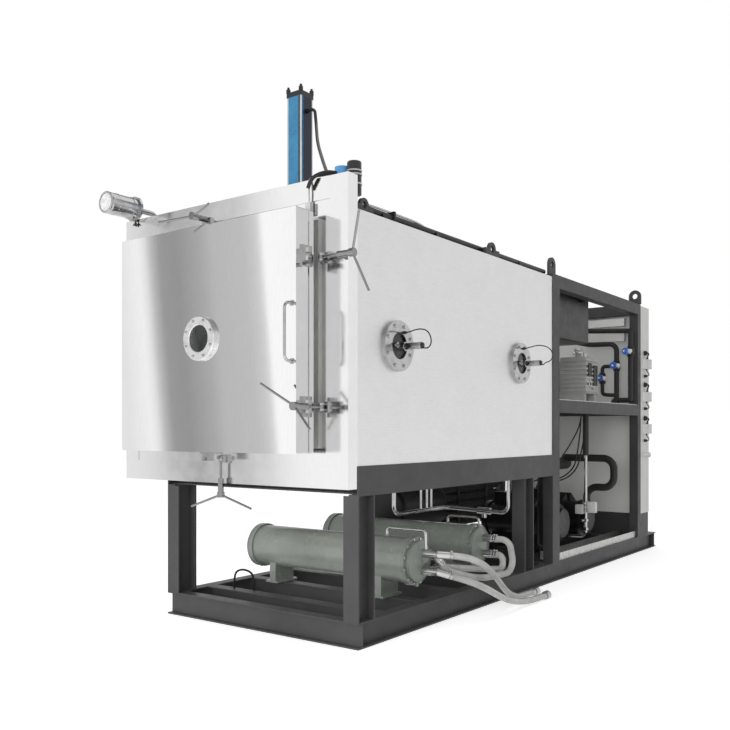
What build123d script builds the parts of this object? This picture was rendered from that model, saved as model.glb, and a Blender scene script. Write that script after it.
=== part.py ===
from build123d import *

import os
from math import cos, radians, sin, tan

# Vacuum freeze dryer: an insulated chamber with a swing-bolt door on a steel skid, with its condensers
# underneath and its machinery rack behind. Millimetres, +Z up. The origin is the centre of the skid's
# underside, +X is to the right of someone facing the door, and the door faces -Y.
os.makedirs("parts", exist_ok=True)

# ---- Driving dimensions -------------------------------------------------------------------------------
running = 0.05  # radial clearance of a pin or shaft in its bore
slack = 0.3  # clearance between faces that move past each other

# Skid and posts
skid_width = 1500.0
skid_length = 4900.0
beam_height = 140.0
beam_flange = 80.0
beam_web = 6.0
beam_flange_thickness = 9.0
post_depth = 148.0
post_width = 100.0
mid_post_y = -406.0
bearer_height = 160.0
bearer_flange = 65.0
bearer_wall = 8.0

# Chamber, door and frame
vessel_width = 1210.0  # inside
vessel_height = 1074.0
vessel_wall = 15.0
door_lap = 85.0  # of the door past the vessel on every side
side_margin = 14.0  # between the clamp lugs and the frame's band at the sides
lug_margin = 4.5  # the same at the top and bottom
floor_insulation = 150.5
roof_insulation = 95.5
rear_insulation = 105.0
chamber_length = 2450.0
chamber_bottom = 965.0
chamber_inset = 5.0  # of the right wall from the skid's side
frame_thickness = 81.0
frame_band = 118.0  # width of the proud outer band
frame_step = 6.0
door_thickness = 138.0
door_back_thickness = 32.0
door_back_inset = 25.0
door_corner = 6.0
gasket_proud = 14.0
gasket_width = 30.0
sight_bore = 150.0
sight_ring = 250.0
sight_ring_thickness = 25.0
sight_glass_thickness = 14.0
sight_glass_seat = 13.0
handle_inset = 28.0
handle_drop = 8.5  # of the handle's middle below the door's
handle_length = 315.0
handle_standoff = 57.0
handle_rod = 16.0
handle_foot = 4.0

# Hinges
hinge_offset = 40.0  # of the pin from the door's edge
hinge_setback = 69.0  # of the pin in front of the frame's face
hinge_spread = 392.0  # of each hinge from the door's middle
hinge_pin = 24.0
hinge_knuckle = 52.0
hinge_ear = 24.0
hinge_leaf_height = 86.0
hinge_strap = 12.0  # thickness of the strap on the door's side
hinge_strap_height = 138.0
hinge_strap_inset = 14.0  # behind the door's face
hinge_base = 16.0  # thickness of the bracket's base
hinge_pin_head = 36.0

# Swing-bolt clamps
clamp_offset = 40.0  # of the closed bolt from the door's edge
clamp_pivot_rise = 34.0  # of the pivot above the frame's face
clamp_pin = 12.0
bolt_shank = 16.0
bolt_eye = 34.0
bolt_eye_width = 20.0
bolt_length = 212.0
lug_ear = 10.0
lug_width = 46.0
lug_base = 8.0
pin_overhang = 4.0
bracket_width = 108.0
bracket_depth = 78.0
bracket_wall = 10.0
bracket_setback = 38.0  # of the bracket behind the door's face
fork_width = 67.0
fork_depth = 28.0
fork_beyond = 10.0  # reach of the fork past the bolt's centre line
slot_clearance = 1.0
sleeve_gap = 2.0
sleeve_length = 110.0
sleeve_diameter = 34.0
hub_diameter = 44.0
hub_length = 30.0
arm_length = 215.0
arm_diameter = 13.0
arm_bend = 20.0  # degrees forward of the hub's plane
clamp_spread = 392.0  # of the side clamps from the door's middle

# Side ports
port_flange = 285.0
port_opening = 148.0
port_thickness = 25.0
port_glass_thickness = 12.0
port_rise = 657.0  # above the chamber's underside
port_front_gap = 357.0
port_rear_gap = 562.0
lamp_diameter = 40.0
lamp_length = 130.0
lamp_collar = 22.0
lamp_offset = 46.0
port_plug = 32.0

# Stoppering cylinder, shelves and the condenser space
ram_square = 127.0
ram_bore = 100.0
ram_barrel_length = 941.0
ram_base = 20.0
ram_cap = 33.0
ram_rod = 56.0
ram_piston = 40.0
ram_piston_rest = 40.0  # of the raised piston below the cylinder's top
ram_gland = 110.0
tie_rod = 16.0
tie_pitch = 105.0
tie_nut = 15.0
nut_height = 24.0
shelf_width = 1000.0
shelf_depth = 1000.0
shelf_thickness = 20.0
shelf_pitch = 150.0
shelf_rise = 119.5  # of the fixed shelf above the vessel's floor
shelf_front_gap = 80.0
shelf_rear_gap = 64.0
shelf_leg = 60.0
shelf_leg_inset = 120.0
shelf_closed_pitch = 60.0
moving_shelves = 3
guide_rod = 30.0
guide_ear = 60.0
pressure_plate_thickness = 40.0
partition_port = 420.0
partition_thickness = 16.0
valve_disc = 480.0
valve_disc_thickness = 25.0
valve_stroke = 150.0
valve_stem = 40.0
valve_barrel = 120.0
valve_barrel_length = 420.0
valve_barrel_cap = 60.0
coil_tube = 24.0
coil_pitch = 110.0
coil_rows = 8

# Lifting lugs and the fittings on top
lug_plate = 20.0
lug_hole = 50.0
lug_edge = 12.0  # of the roof lugs from the chamber's sides
front_lug = (159.0, 75.0)  # length and height
rear_lug = (196.0, 95.0)
rear_lug_place = 0.58  # of the chamber's length
ring_width = 114.0
ring_rise = 77.0  # of the ring's hole above the rack
housing_diameter = 133.0
housing_flange = 157.0
housing_flange_thickness = 16.0
housing_length = 220.0
housing_stub = 35.0
housing_inset = 95.0
housing_rise = 65.0
housing_setback = 85.0
top_pipe = 38.0
top_pipe_inset = 60.0
saddle_width = 50.0

# Hydraulic valves and hoses on the roof
valve_block = (84.0, 80.0, 125.0)
valve_block_x = 604.0
valve_arm = 34.0
valve_block_setback = 50.0
valve_dome = 82.0
valve_dome_height = 127.0
valve_turret = 78.0
valve_turret_height = 144.0
oil_hose = 20.0
oil_fitting = 30.0
sensor_box = (34.0, 26.0, 62.0)
sensor_x = 494.0
ram_port_drop = 86.0  # of the ram's hose fitting below the barrel's top

# Condensers and their cooling-water hoses
condenser_ys = (-1740.0, -900.0)
condenser_z = 370.0
condenser_shell = 270.0
condenser_cover = 290.0
condenser_drum = 244.0
condenser_ends = ((-660.0, 700.0), (-690.0, 650.0))
cover_length = 70.0
cover_flange = 22.0
cover_dome = 24.0
foot_x = 430.0
foot_length = 180.0
foot_thickness = 50.0
foot_plate = 12.0
drain_stub = 20.0
drain_drop = 28.0
staple_pipe = 16.0
staple_rise = 52.0  # of the crossover pipes above the shells
water_port_pitch = 104.0
water_port = 50.0
nozzle_reach = 50.0
hose_tail = 46.0
elbow_reach = 50.0
tail_reach = 68.0
short_tail = 12.0
hose_diameter = 42.0
coupling_diameter = 56.0
coupling_length = 90.0

# Heat-transfer pipes under the chamber
coolant_pipe = 28.0
coolant_branch = 16.0
coolant_z = 557.0
coolant_fall = 15.0
coolant_x = 117.0
coolant_riser_x = 636.0
coolant_y = -508.0
coolant_end = -1200.0
coolant_branches = (-857.0, -777.0, -717.0)
strainer = 50.0
strainer_length = 100.0
strainer_x = 440.0

# Machinery rack
rack_post = 80.0
rack_front_post_depth = 126.0
post_gap = 1.0  # between the chamber's back and the rack
rack_rear_y = 2010.0
rack_top = 2340.0
rack_rail_depth = 98.0
rack_mid_rail_top = 1385.0
deck_thickness = 6.0
rack_wall = 5.0
base_rail = 60.0
base_rail_width = 80.0
tray_width = 150.0
tray_height = 60.0
tray_inset = 20.0

# Vane pump
pump_x = (300.0, 550.0)
pump_y = (1133.0, 1441.0)
pump_rise = 80.0  # above the deck
pump_height = 330.0
pump_skin = 14.0
fin_count = 8
fin_proud = 12.0
fin_thickness = 16.0
fin_margin = 30.0
pump_foot_thickness = 40.0
pump_foot_reach = 120.0
pump_motor = 230.0
pump_motor_length = 330.0
pump_motor_flange = 280.0
pump_inlet = 60.0
pump_inlet_cap = 80.0
pump_inlet_height = 45.0
pump_cap_height = 25.0

# Compressors and the vessels that serve them
compressor_ys = (700.0, 1270.0)
compressor_x = 170.0
compressor_z = 370.0
compressor_body = 290.0
compressor_length = 660.0
compressor_bell = 240.0
compressor_bell_length = 40.0
compressor_rib = 316.0
compressor_sump = (500.0, 220.0)
compressor_head = (150.0, 120.0, 62.0)
compressor_head_tilt = 34.0
compressor_head_reach = 205.0
compressor_valve = 90.0
compressor_terminals = (170.0, 130.0, 96.0)
separator_place = (505.0, 420.0)
separator_top = 980.0
separator_diameter = 140.0
separator_skirt = 110.0
separator_round = 30.0
receiver_place = (-435.0, 520.0)
receiver_diameter = 400.0
receiver_ends = (-540.0, 120.0)  # from the chamber's back
receiver_foot = 60.0
receiver_round = 70.0
exchanger_x = (230.0, 630.0)
exchanger_z = (1892.0, 2290.0)
exchanger_ends = (150.0, 1010.0)  # from the chamber's back
exchanger_round = 24.0
hanger_inset = 150.0
hanger_width = 60.0

# Refrigerant pipes in the rack
suction_header = 110.0
suction_header_x = 190.0
suction_header_z = 840.0
suction_header_ends = (470.0, 1560.0)
suction_pipe = 66.0
suction_loop = ((676.0, 893.0), (676.0, 627.0))
suction_loop_y = 1500.0
riser_pipe = 26.0
riser_place = (610.0, 1000.0)
riser_low = 232.0
riser_foot_x = 300.0
line_pipe = 46.0
line_y = 1850.0
line_outer = ((300.0, 2105.0), (708.0, 2080.0), (708.0, 1432.0), (545.0, 1432.0))
line_inner = ((300.0, 1972.0), (574.0, 1966.0))

# Control cabinet
cabinet_depth = 215.0
cabinet_width = 1400.0
cabinet_bottom = 357.0
cabinet_top = 2328.0
cabinet_wall = 3.0
cabinet_door_thickness = 25.0
cabinet_door_inset = 1.0
cabinet_hinge_offset = (9.0, 12.0)  # of the pins from the shell's back corner
cabinet_hinge_inset = 300.0
cabinet_barrel = 14.0
cabinet_barrel_height = 40.0
cabinet_pin = 8.0
cabinet_handle = (30.0, 24.0, 140.0)
duct_span = (239.0, 611.0)
duct_heights = ((1999.0, 2086.0), (2145.0, 2218.0))
duct_depth = 62.0
junction_heights = (1779.0, 1467.0, 1161.0)
junction_size = 92.0
junction_depth = 56.0
junction_inset = 60.0
last_gland_z = 914.0
gland_diameter = 46.0

# ---- Places that follow from them ---------------------------------------------------------------------
half_width = skid_width / 2
vessel_outer_width = vessel_width + 2 * vessel_wall
vessel_outer_height = vessel_height + 2 * vessel_wall
door_width = vessel_outer_width + 2 * door_lap
door_height = vessel_outer_height + 2 * door_lap
clamp_band = clamp_offset + lug_width / 2 + frame_band
chamber_width = door_width + 2 * (clamp_band + side_margin)
chamber_height = vessel_outer_height + floor_insulation + roof_insulation
chamber_right = half_width - chamber_inset
chamber_x = chamber_right - chamber_width / 2
chamber_left = chamber_right - chamber_width
chamber_front = -skid_length / 2
chamber_rear = chamber_front + chamber_length
chamber_top = chamber_bottom + chamber_height
vessel_floor = chamber_bottom + floor_insulation + vessel_wall
vessel_ceiling = vessel_floor + vessel_height
door_z = (vessel_floor + vessel_ceiling) / 2
frame_height = door_height + 2 * (clamp_band + lug_margin)
frame_bottom = door_z - frame_height / 2
frame_top = door_z + frame_height / 2
frame_face = chamber_front - frame_thickness
door_left = chamber_x - door_width / 2
door_right = chamber_x + door_width / 2
door_back = frame_face - gasket_proud
leaf_back = door_back - door_back_thickness
door_front = leaf_back - door_thickness
handle_x = door_right - handle_inset
handle_z = door_z - handle_drop
bearer_bottom = chamber_bottom - bearer_height
vessel_front = frame_face + frame_step
vessel_rear = chamber_rear - rear_insulation
vessel_back = vessel_rear - vessel_wall
hinge_x = door_left - hinge_offset
hinge_y = frame_face - hinge_setback
hinge_heights = (door_z - hinge_spread, door_z + hinge_spread)
port_z = chamber_bottom + port_rise
port_ys = (chamber_front + port_front_gap, chamber_rear - port_rear_gap)
shelf_lowest = vessel_floor + shelf_rise
ram_y = chamber_front + shelf_front_gap + shelf_depth / 2
ram_floor = chamber_top + ram_base
ram_top = ram_floor + ram_barrel_length
ram_travel = (moving_shelves + 1) * (shelf_pitch - shelf_closed_pitch)
pressure_plate_z = shelf_lowest + (moving_shelves + 1) * shelf_pitch
partition_y = ram_y + shelf_depth / 2 + shelf_rear_gap + partition_thickness


def span_box(x_span, y_span, z_span, mode=Mode.ADD):
    """A box between two limits along each axis."""
    spans = (x_span, y_span, z_span)
    with Locations(tuple(sum(span) / 2 for span in spans)):
        Box(*(abs(span[1] - span[0]) for span in spans), mode=mode)


def i_profile(height, flange):
    """An I or H section with its flanges at the top and bottom of the sketch."""
    Rectangle(flange, height)
    side = (flange - beam_web) / 2
    shift = (flange + beam_web) / 4
    with Locations((-shift, 0), (shift, 0)):
        Rectangle(side, height - 2 * beam_flange_thickness, mode=Mode.SUBTRACT)


def hollow_profile(width, height):
    """A rectangular hollow section."""
    Rectangle(width, height)
    Rectangle(width - 2 * rack_wall, height - 2 * rack_wall, mode=Mode.SUBTRACT)


def rod(start, end, diameter, mode=Mode.ADD):
    """A round bar between two points."""
    axis = Vector(*end) - Vector(*start)
    with Locations(Plane(origin=start, z_dir=axis.normalized())):
        Cylinder(diameter / 2, axis.length, align=(Align.CENTER, Align.CENTER, Align.MIN), mode=mode)


def route_radii(points):
    """The bend radius at each inner point of a hose's route."""
    radii = []
    for before, here, after in zip(points, points[1:], points[2:]):
        arriving = Vector(*here) - Vector(*before)
        leaving = Vector(*after) - Vector(*here)
        half_turn = radians(arriving.get_angle(leaving) / 2)
        radii.append(0.45 * min(arriving.length, leaving.length) / tan(half_turn))
    return radii

# ---- Skid ---------------------------------------------------------------------------------------------
beam_mid = beam_height / 2
side_beam_x = half_width - beam_flange / 2
end_beam_y = skid_length / 2 - beam_flange / 2
side_beam_end = end_beam_y - beam_flange / 2
machine_beam_ys = (460.0, 1000.0, 1540.0)
cross_beam_ys = (
    -2145.0, condenser_ys[0], -1330.0, condenser_ys[1], mid_post_y, chamber_rear, *machine_beam_ys,
    rack_rear_y - rack_post / 2,
)

with BuildPart() as side_beams:
    with BuildSketch(Plane.XZ.offset(-side_beam_end)):
        with Locations((-side_beam_x, beam_mid), (side_beam_x, beam_mid)):
            i_profile(beam_height, beam_flange)
    extrude(amount=2 * side_beam_end)
side_beams.part.label = "skid_side_beams"
export_step(side_beams.part, "parts/skid_side_beams.step")

cross_beam_end = side_beam_x - beam_flange / 2
with BuildPart() as cross_beams:
    with BuildSketch(Plane.YZ.offset(-cross_beam_end)):
        with Locations(*((y, beam_mid) for y in cross_beam_ys)):
            i_profile(beam_height, beam_flange)
    extrude(amount=2 * cross_beam_end)
    with BuildSketch(Plane.YZ.offset(-half_width)):
        with Locations((-end_beam_y, beam_mid), (end_beam_y, beam_mid)):
            i_profile(beam_height, beam_flange)
    extrude(amount=skid_width)
cross_beams.part.label = "skid_cross_beams"
export_step(cross_beams.part, "parts/skid_cross_beams.step")

# ---- Posts and bearers under the chamber --------------------------------------------------------------
post_x = half_width - post_width / 2
front_post_y = chamber_front + post_depth / 2
bearer_mid = (bearer_bottom + chamber_bottom) / 2
cross_bearer_end = half_width - bearer_wall
cross_bearer_ys = (front_post_y, -1650.0, -1020.0, mid_post_y)
with BuildPart() as posts:
    with BuildSketch(Plane.XY.offset(beam_height)):
        with Locations(*((x, y) for x in (-post_x, post_x) for y in (front_post_y, mid_post_y))):
            i_profile(post_depth, post_width)
    extrude(amount=bearer_bottom - beam_height)
    with BuildSketch(Plane.YZ.offset(-cross_bearer_end)):
        with Locations(*((y, bearer_mid) for y in cross_bearer_ys)):
            i_profile(bearer_height - 2 * bearer_wall, beam_flange)
    extrude(amount=2 * cross_bearer_end)
posts.part.label = "chamber_supports"
export_step(posts.part, "parts/chamber_supports.step")

with BuildPart() as bearers:
    for side in (-1, 1):
        with BuildSketch(Plane.XZ.offset(-chamber_rear)):
            with Locations((side * (half_width - bearer_flange / 2), bearer_mid)):
                Rectangle(bearer_flange, bearer_height)
            with Locations((side * (half_width - bearer_flange / 2 - bearer_wall), bearer_mid)):
                Rectangle(bearer_flange, bearer_height - 2 * bearer_wall, mode=Mode.SUBTRACT)
        extrude(amount=chamber_length)
bearers.part.label = "chamber_bearers"
export_step(bearers.part, "parts/chamber_bearers.step")

# ---- Chamber ------------------------------------------------------------------------------------------
with BuildPart() as vessel:
    with BuildSketch(Plane.XZ.offset(-vessel_rear)):
        with Locations((chamber_x, door_z)):
            Rectangle(vessel_outer_width, vessel_outer_height)
    extrude(amount=vessel_rear - vessel_front)
    with BuildSketch(Plane.XZ.offset(-vessel_back)):
        with Locations((chamber_x, door_z)):
            Rectangle(vessel_width, vessel_height)
    extrude(amount=vessel_back - vessel_front, mode=Mode.SUBTRACT)
    with BuildSketch(Plane.XZ.offset(-partition_y)):
        with Locations((chamber_x, door_z)):
            Rectangle(vessel_width, vessel_height)
            Circle(partition_port / 2, mode=Mode.SUBTRACT)
    extrude(amount=partition_thickness)
    rod((chamber_x, ram_y, vessel_ceiling), (chamber_x, ram_y, chamber_top), ram_gland, Mode.SUBTRACT)
vessel.part.label = "vessel"
export_step(vessel.part, "parts/vessel.step")

with BuildPart() as casing:
    with BuildSketch(Plane.XZ.offset(-chamber_rear)):
        with Locations((chamber_x, chamber_bottom + chamber_height / 2)):
            Rectangle(chamber_width, chamber_height)
    extrude(amount=chamber_length)
    with BuildSketch(Plane.XZ.offset(-vessel_rear)):
        with Locations((chamber_x, door_z)):
            Rectangle(vessel_outer_width, vessel_outer_height)
    extrude(amount=vessel_rear - chamber_front, mode=Mode.SUBTRACT)
    rod((chamber_x, ram_y, vessel_ceiling), (chamber_x, ram_y, chamber_top), ram_gland, Mode.SUBTRACT)
casing.part.label = "insulated_casing"
export_step(casing.part, "parts/insulated_casing.step")

with BuildPart() as front_frame:
    with BuildSketch(Plane.XZ.offset(-chamber_front)):
        with Locations((chamber_x, door_z)):
            Rectangle(chamber_width, frame_height)
            Rectangle(vessel_outer_width, vessel_outer_height, mode=Mode.SUBTRACT)
    extrude(amount=frame_thickness)
    with BuildSketch(Plane.XZ.offset(-vessel_front)):
        with Locations((chamber_x, door_z)):
            Rectangle(chamber_width - 2 * frame_band, frame_height - 2 * frame_band)
    extrude(amount=frame_step, mode=Mode.SUBTRACT)
front_frame.part.label = "front_frame"
export_step(front_frame.part, "parts/front_frame.step")

gasket_outer = (vessel_outer_width + 2 * gasket_width, vessel_outer_height + 2 * gasket_width)
with BuildPart() as gasket:
    with BuildSketch(Plane.XZ.offset(-vessel_front)):
        with Locations((chamber_x, door_z)):
            Rectangle(*gasket_outer)
            Rectangle(vessel_outer_width, vessel_outer_height, mode=Mode.SUBTRACT)
    extrude(amount=frame_step + gasket_proud - slack)
gasket.part.label = "door_gasket"
export_step(gasket.part, "parts/door_gasket.step")

# ---- Door ---------------------------------------------------------------------------------------------
with BuildPart() as door_leaf:
    with BuildSketch(Plane.XZ.offset(-leaf_back)):
        with Locations((chamber_x, door_z)):
            RectangleRounded(door_width, door_height, door_corner)
            Circle(sight_bore / 2, mode=Mode.SUBTRACT)
    extrude(amount=door_thickness)
    with BuildSketch(Plane.XZ.offset(-door_back)):
        with Locations((chamber_x, door_z)):
            Rectangle(door_width - 2 * door_back_inset, door_height - 2 * door_back_inset)
            Circle(sight_bore / 2, mode=Mode.SUBTRACT)
    extrude(amount=door_back_thickness)
door_leaf.part.label = "door_leaf"
export_step(door_leaf.part, "parts/door_leaf.step")

sight_glass_diameter = sight_bore + 2 * sight_glass_seat
with BuildPart() as sight_ring_piece:
    with BuildSketch(Plane.XZ.offset(-door_front)):
        with Locations((chamber_x, door_z)):
            Circle(sight_ring / 2)
            Circle(sight_glass_diameter / 2, mode=Mode.SUBTRACT)
    extrude(amount=sight_glass_thickness)
    with BuildSketch(Plane.XZ.offset(-(door_front - sight_glass_thickness))):
        with Locations((chamber_x, door_z)):
            Circle(sight_ring / 2)
            Circle(sight_bore / 2, mode=Mode.SUBTRACT)
    extrude(amount=sight_ring_thickness - sight_glass_thickness)
    rim = sight_ring_piece.edges().filter_by(GeomType.CIRCLE).group_by(Axis.Y)[0]
    chamfer(rim, 4)
sight_ring_piece.part.label = "sight_glass_ring"
export_step(sight_ring_piece.part, "parts/sight_glass_ring.step")

with BuildPart() as sight_glass:
    with BuildSketch(Plane.XZ.offset(-door_front)):
        with Locations((chamber_x, door_z)):
            Circle(sight_glass_diameter / 2)
    extrude(amount=sight_glass_thickness)
sight_glass.part.label = "sight_glass"
export_step(sight_glass.part, "parts/sight_glass.step")

handle_low = handle_z - handle_length / 2 + handle_rod / 2
handle_high = handle_z + handle_length / 2 - handle_rod / 2
handle_out = door_front - handle_standoff
with BuildPart() as door_handle:
    with BuildLine() as handle_line:
        FilletPolyline(
            (handle_x, door_front, handle_low),
            (handle_x, handle_out, handle_low),
            (handle_x, handle_out, handle_high),
            (handle_x, door_front, handle_high),
            radius=2 * handle_rod,
        )
    with BuildSketch(Plane.XZ.offset(-door_front)):
        with Locations((handle_x, handle_low)):
            Circle(handle_rod / 2)
    sweep(path=handle_line.line)
    with BuildSketch(Plane.XZ.offset(-door_front)):
        with Locations((handle_x, handle_low), (handle_x, handle_high)):
            Circle(handle_rod)
    extrude(amount=handle_foot)
door_handle.part.label = "door_handle"
export_step(door_handle.part, "parts/door_handle.step")

# ---- Door hinges: two ears on the frame, a pin through them, and a knuckle on the door between them ----
# ---- Swing-bolt clamps --------------------------------------------------------------------------------
# Each clamp has a direction "away" from the door's edge. The bolt lies along -Y when it is closed and
# along "away" when it is swung open.
clamp_edge_x = door_right + clamp_offset
clamp_top_z = door_z + door_height / 2 + clamp_offset
clamp_low_z = door_z - door_height / 2 - clamp_offset
pivot_y = frame_face - clamp_pivot_rise
clamps = {
    "right_low": ((clamp_edge_x, door_z - clamp_spread), Vector(1, 0, 0), True, 144.6),
    "right_high": ((clamp_edge_x, door_z + clamp_spread), Vector(1, 0, 0), False, 12.0),
    "bottom": ((chamber_x, clamp_low_z), Vector(0, 0, -1), False, -13.0),
    "top": ((chamber_x, clamp_top_z), Vector(0, 0, 1), True, 6.0),
}
outward = Vector(0, -1, 0)
lug_inside = bolt_eye_width + 2 * slack


def face_plane(place, away, y):
    """The plane of a clamp at depth y: its x leads away from the door and its z faces out."""
    return Plane(origin=(place[0], y, place[1]), x_dir=away, z_dir=outward)

with BuildPart() as frame_brackets:
    for height in hinge_heights:
        for side in (-1, 1):
            ear_low = height + side * (hinge_leaf_height / 2 + slack + hinge_ear / 2) - hinge_ear / 2
            with BuildSketch(Plane.XY.offset(ear_low)):
                with Locations((hinge_x, hinge_y)):
                    Circle(hinge_knuckle / 2)
                with Locations((hinge_x, (hinge_y + frame_face) / 2)):
                    Rectangle(hinge_knuckle, frame_face - hinge_y)
                with Locations((hinge_x, hinge_y)):
                    Circle(hinge_pin / 2 + running, mode=Mode.SUBTRACT)
            extrude(amount=hinge_ear)
        bracket_reach = hinge_leaf_height / 2 + slack + hinge_ear
        span_box(
            (hinge_x - hinge_knuckle / 2, hinge_x + hinge_knuckle / 2),
            (frame_face - hinge_base, vessel_front),
            (height - bracket_reach, height + bracket_reach),
        )
    for place, away, closed, turn in clamps.values():
        lug_plane = face_plane(place, away, frame_face)
        with BuildSketch(face_plane(place, away, vessel_front)):
            Rectangle(lug_width, lug_inside + 2 * lug_ear + 2 * lug_base)
        extrude(amount=frame_step + lug_base)
        for side in (-1, 1):
            ear_start = side * (lug_inside / 2 + lug_ear / 2) - lug_ear / 2
            ear_origin = lug_plane.from_local_coords((0, ear_start, clamp_pivot_rise))
            ear_plane = Plane(origin=ear_origin, x_dir=away, z_dir=lug_plane.y_dir)
            ear_foot = lug_plane.from_local_coords((0, ear_start, clamp_pivot_rise / 2))
            with BuildSketch(ear_plane):
                Circle(bolt_eye / 2)
                with Locations(ear_plane.to_local_coords(ear_foot)):
                    Rectangle(bolt_eye, clamp_pivot_rise)
                Circle(clamp_pin / 2 + running, mode=Mode.SUBTRACT)
            extrude(amount=lug_ear)
frame_brackets.part.label = "frame_brackets"
export_step(frame_brackets.part, "parts/frame_brackets.step")

with BuildPart() as pivot_pins:
    for height in hinge_heights:
        top = height + hinge_leaf_height / 2 + slack + hinge_ear
        bottom = height - hinge_leaf_height / 2 - slack - hinge_ear
        rod((hinge_x, hinge_y, bottom - pin_overhang), (hinge_x, hinge_y, top), hinge_pin)
        rod((hinge_x, hinge_y, top), (hinge_x, hinge_y, top + 2 * pin_overhang), hinge_pin_head)
    for place, away, closed, turn in clamps.values():
        pin_plane = face_plane(place, away, pivot_y)
        reach = lug_inside / 2 + lug_ear + pin_overhang
        start = pin_plane.from_local_coords((0, -reach, 0))
        end = pin_plane.from_local_coords((0, reach, 0))
        rod(start, end, clamp_pin)
pivot_pins.part.label = "pivot_pins"
export_step(pivot_pins.part, "parts/pivot_pins.step")

# The slotted brackets on the door's edges, which the sleeves press on
fork_slot = bolt_shank + 2 * slot_clearance
bracket_front = door_front + bracket_setback
with BuildPart() as door_brackets:
    for height in hinge_heights:
        with BuildSketch(Plane.XY.offset(height - hinge_leaf_height / 2)):
            with Locations((hinge_x, hinge_y)):
                Circle(hinge_knuckle / 2)
            with Locations(((hinge_x + door_left) / 2, hinge_y - hinge_knuckle / 4)):
                Rectangle(hinge_offset, hinge_knuckle / 2)
            with Locations((hinge_x, hinge_y)):
                Circle(hinge_pin / 2 + running, mode=Mode.SUBTRACT)
        extrude(amount=hinge_leaf_height)
        span_box(
            (door_left - hinge_strap, door_left),
            (door_front + hinge_strap_inset, hinge_y),
            (height - hinge_strap_height / 2, height + hinge_strap_height / 2),
        )
    for place, away, closed, turn in clamps.values():
        base_plane = face_plane(place, away, bracket_front)
        with BuildSketch(base_plane):
            with Locations((-clamp_offset + bracket_wall / 2, 0)):
                Rectangle(bracket_wall, bracket_width)
        extrude(amount=-bracket_depth)
        with BuildSketch(base_plane):
            with Locations(((fork_beyond - clamp_offset) / 2, 0)):
                Rectangle(clamp_offset + fork_beyond, fork_width)
            with Locations((fork_slot / 2, 0)):
                Rectangle(2 * fork_slot, fork_slot, mode=Mode.SUBTRACT)
        extrude(amount=-fork_depth)
door_brackets.part.label = "door_brackets"
export_step(door_brackets.part, "parts/door_brackets.step")

fork_face = pivot_y - bracket_front
sleeve_start = fork_face + sleeve_gap
hub_start = sleeve_start + sleeve_length - hub_length
nut_bore = bolt_shank / 2 + running
for name, (place, away, closed, turn) in clamps.items():
    direction = outward if closed else away
    pin_direction = away.cross(outward)
    pivot = Vector(place[0], pivot_y, place[1])
    with BuildPart() as swing_bolt:
        eye_plane = Plane(origin=pivot - pin_direction * (bolt_eye_width / 2), z_dir=pin_direction)
        with BuildSketch(eye_plane):
            Circle(bolt_eye / 2)
        extrude(amount=bolt_eye_width)
        rod(pivot, pivot + direction * bolt_length, bolt_shank)
        with BuildSketch(eye_plane):
            Circle(clamp_pin / 2 + running)
        extrude(amount=bolt_eye_width, mode=Mode.SUBTRACT)
    swing_bolt.part.label = f"swing_bolt_{name}"
    export_step(swing_bolt.part, f"parts/swing_bolt_{name}.step")

    across = pin_direction if not closed else Vector(1, 0, 0)
    second = direction.cross(across)
    with BuildPart() as clamp_nut:
        sleeve_base = pivot + direction * sleeve_start
        with BuildSketch(Plane(origin=sleeve_base, z_dir=direction)):
            Circle(sleeve_diameter / 2)
        extrude(amount=sleeve_length)
        with BuildSketch(Plane(origin=pivot + direction * hub_start, z_dir=direction)):
            Circle(hub_diameter / 2)
        extrude(amount=hub_length)
        hub = pivot + direction * (hub_start + hub_length / 2)
        for half in (0, 180):
            angle = radians(turn + half)
            flat = across * cos(angle) + second * sin(angle)
            arm = flat * cos(radians(arm_bend)) + direction * sin(radians(arm_bend))
            rod(hub, hub + arm * arm_length, arm_diameter)
        with BuildSketch(Plane(origin=sleeve_base, z_dir=direction)):
            Circle(nut_bore)
        extrude(amount=bolt_length - sleeve_start + sleeve_gap, mode=Mode.SUBTRACT)
    clamp_nut.part.label = f"clamp_nut_{name}"
    export_step(clamp_nut.part, f"parts/clamp_nut_{name}.step")

# ---- Side ports with their lamps ----------------------------------------------------------------------
with BuildPart() as port_flanges:
    with BuildSketch(Plane.YZ.offset(chamber_right)):
        with Locations(*((y, port_z) for y in port_ys)):
            Circle(port_flange / 2)
            Circle(port_opening / 2, mode=Mode.SUBTRACT)
    extrude(amount=port_thickness)
port_flanges.part.label = "port_flanges"
export_step(port_flanges.part, "parts/port_flanges.step")

with BuildPart() as port_glasses:
    with BuildSketch(Plane.YZ.offset(chamber_right)):
        with Locations(*((y, port_z) for y in port_ys)):
            Circle(port_opening / 2)
    extrude(amount=port_glass_thickness)
port_glasses.part.label = "port_glasses"
export_step(port_glasses.part, "parts/port_glasses.step")

lamp_back = chamber_right + port_glass_thickness
with BuildPart() as port_lamps:
    for y in port_ys:
        lamp_start = (lamp_back, y + lamp_offset, port_z)
        rod(lamp_start, (lamp_back + lamp_length, y + lamp_offset, port_z), lamp_diameter)
        rod(lamp_start, (lamp_back + lamp_collar, y + lamp_offset, port_z), lamp_diameter + 10)
        rod((lamp_back, y - lamp_offset, port_z), (lamp_back + port_plug, y - lamp_offset, port_z), port_plug)
port_lamps.part.label = "port_lamps"
export_step(port_lamps.part, "parts/port_lamps.step")

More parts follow.
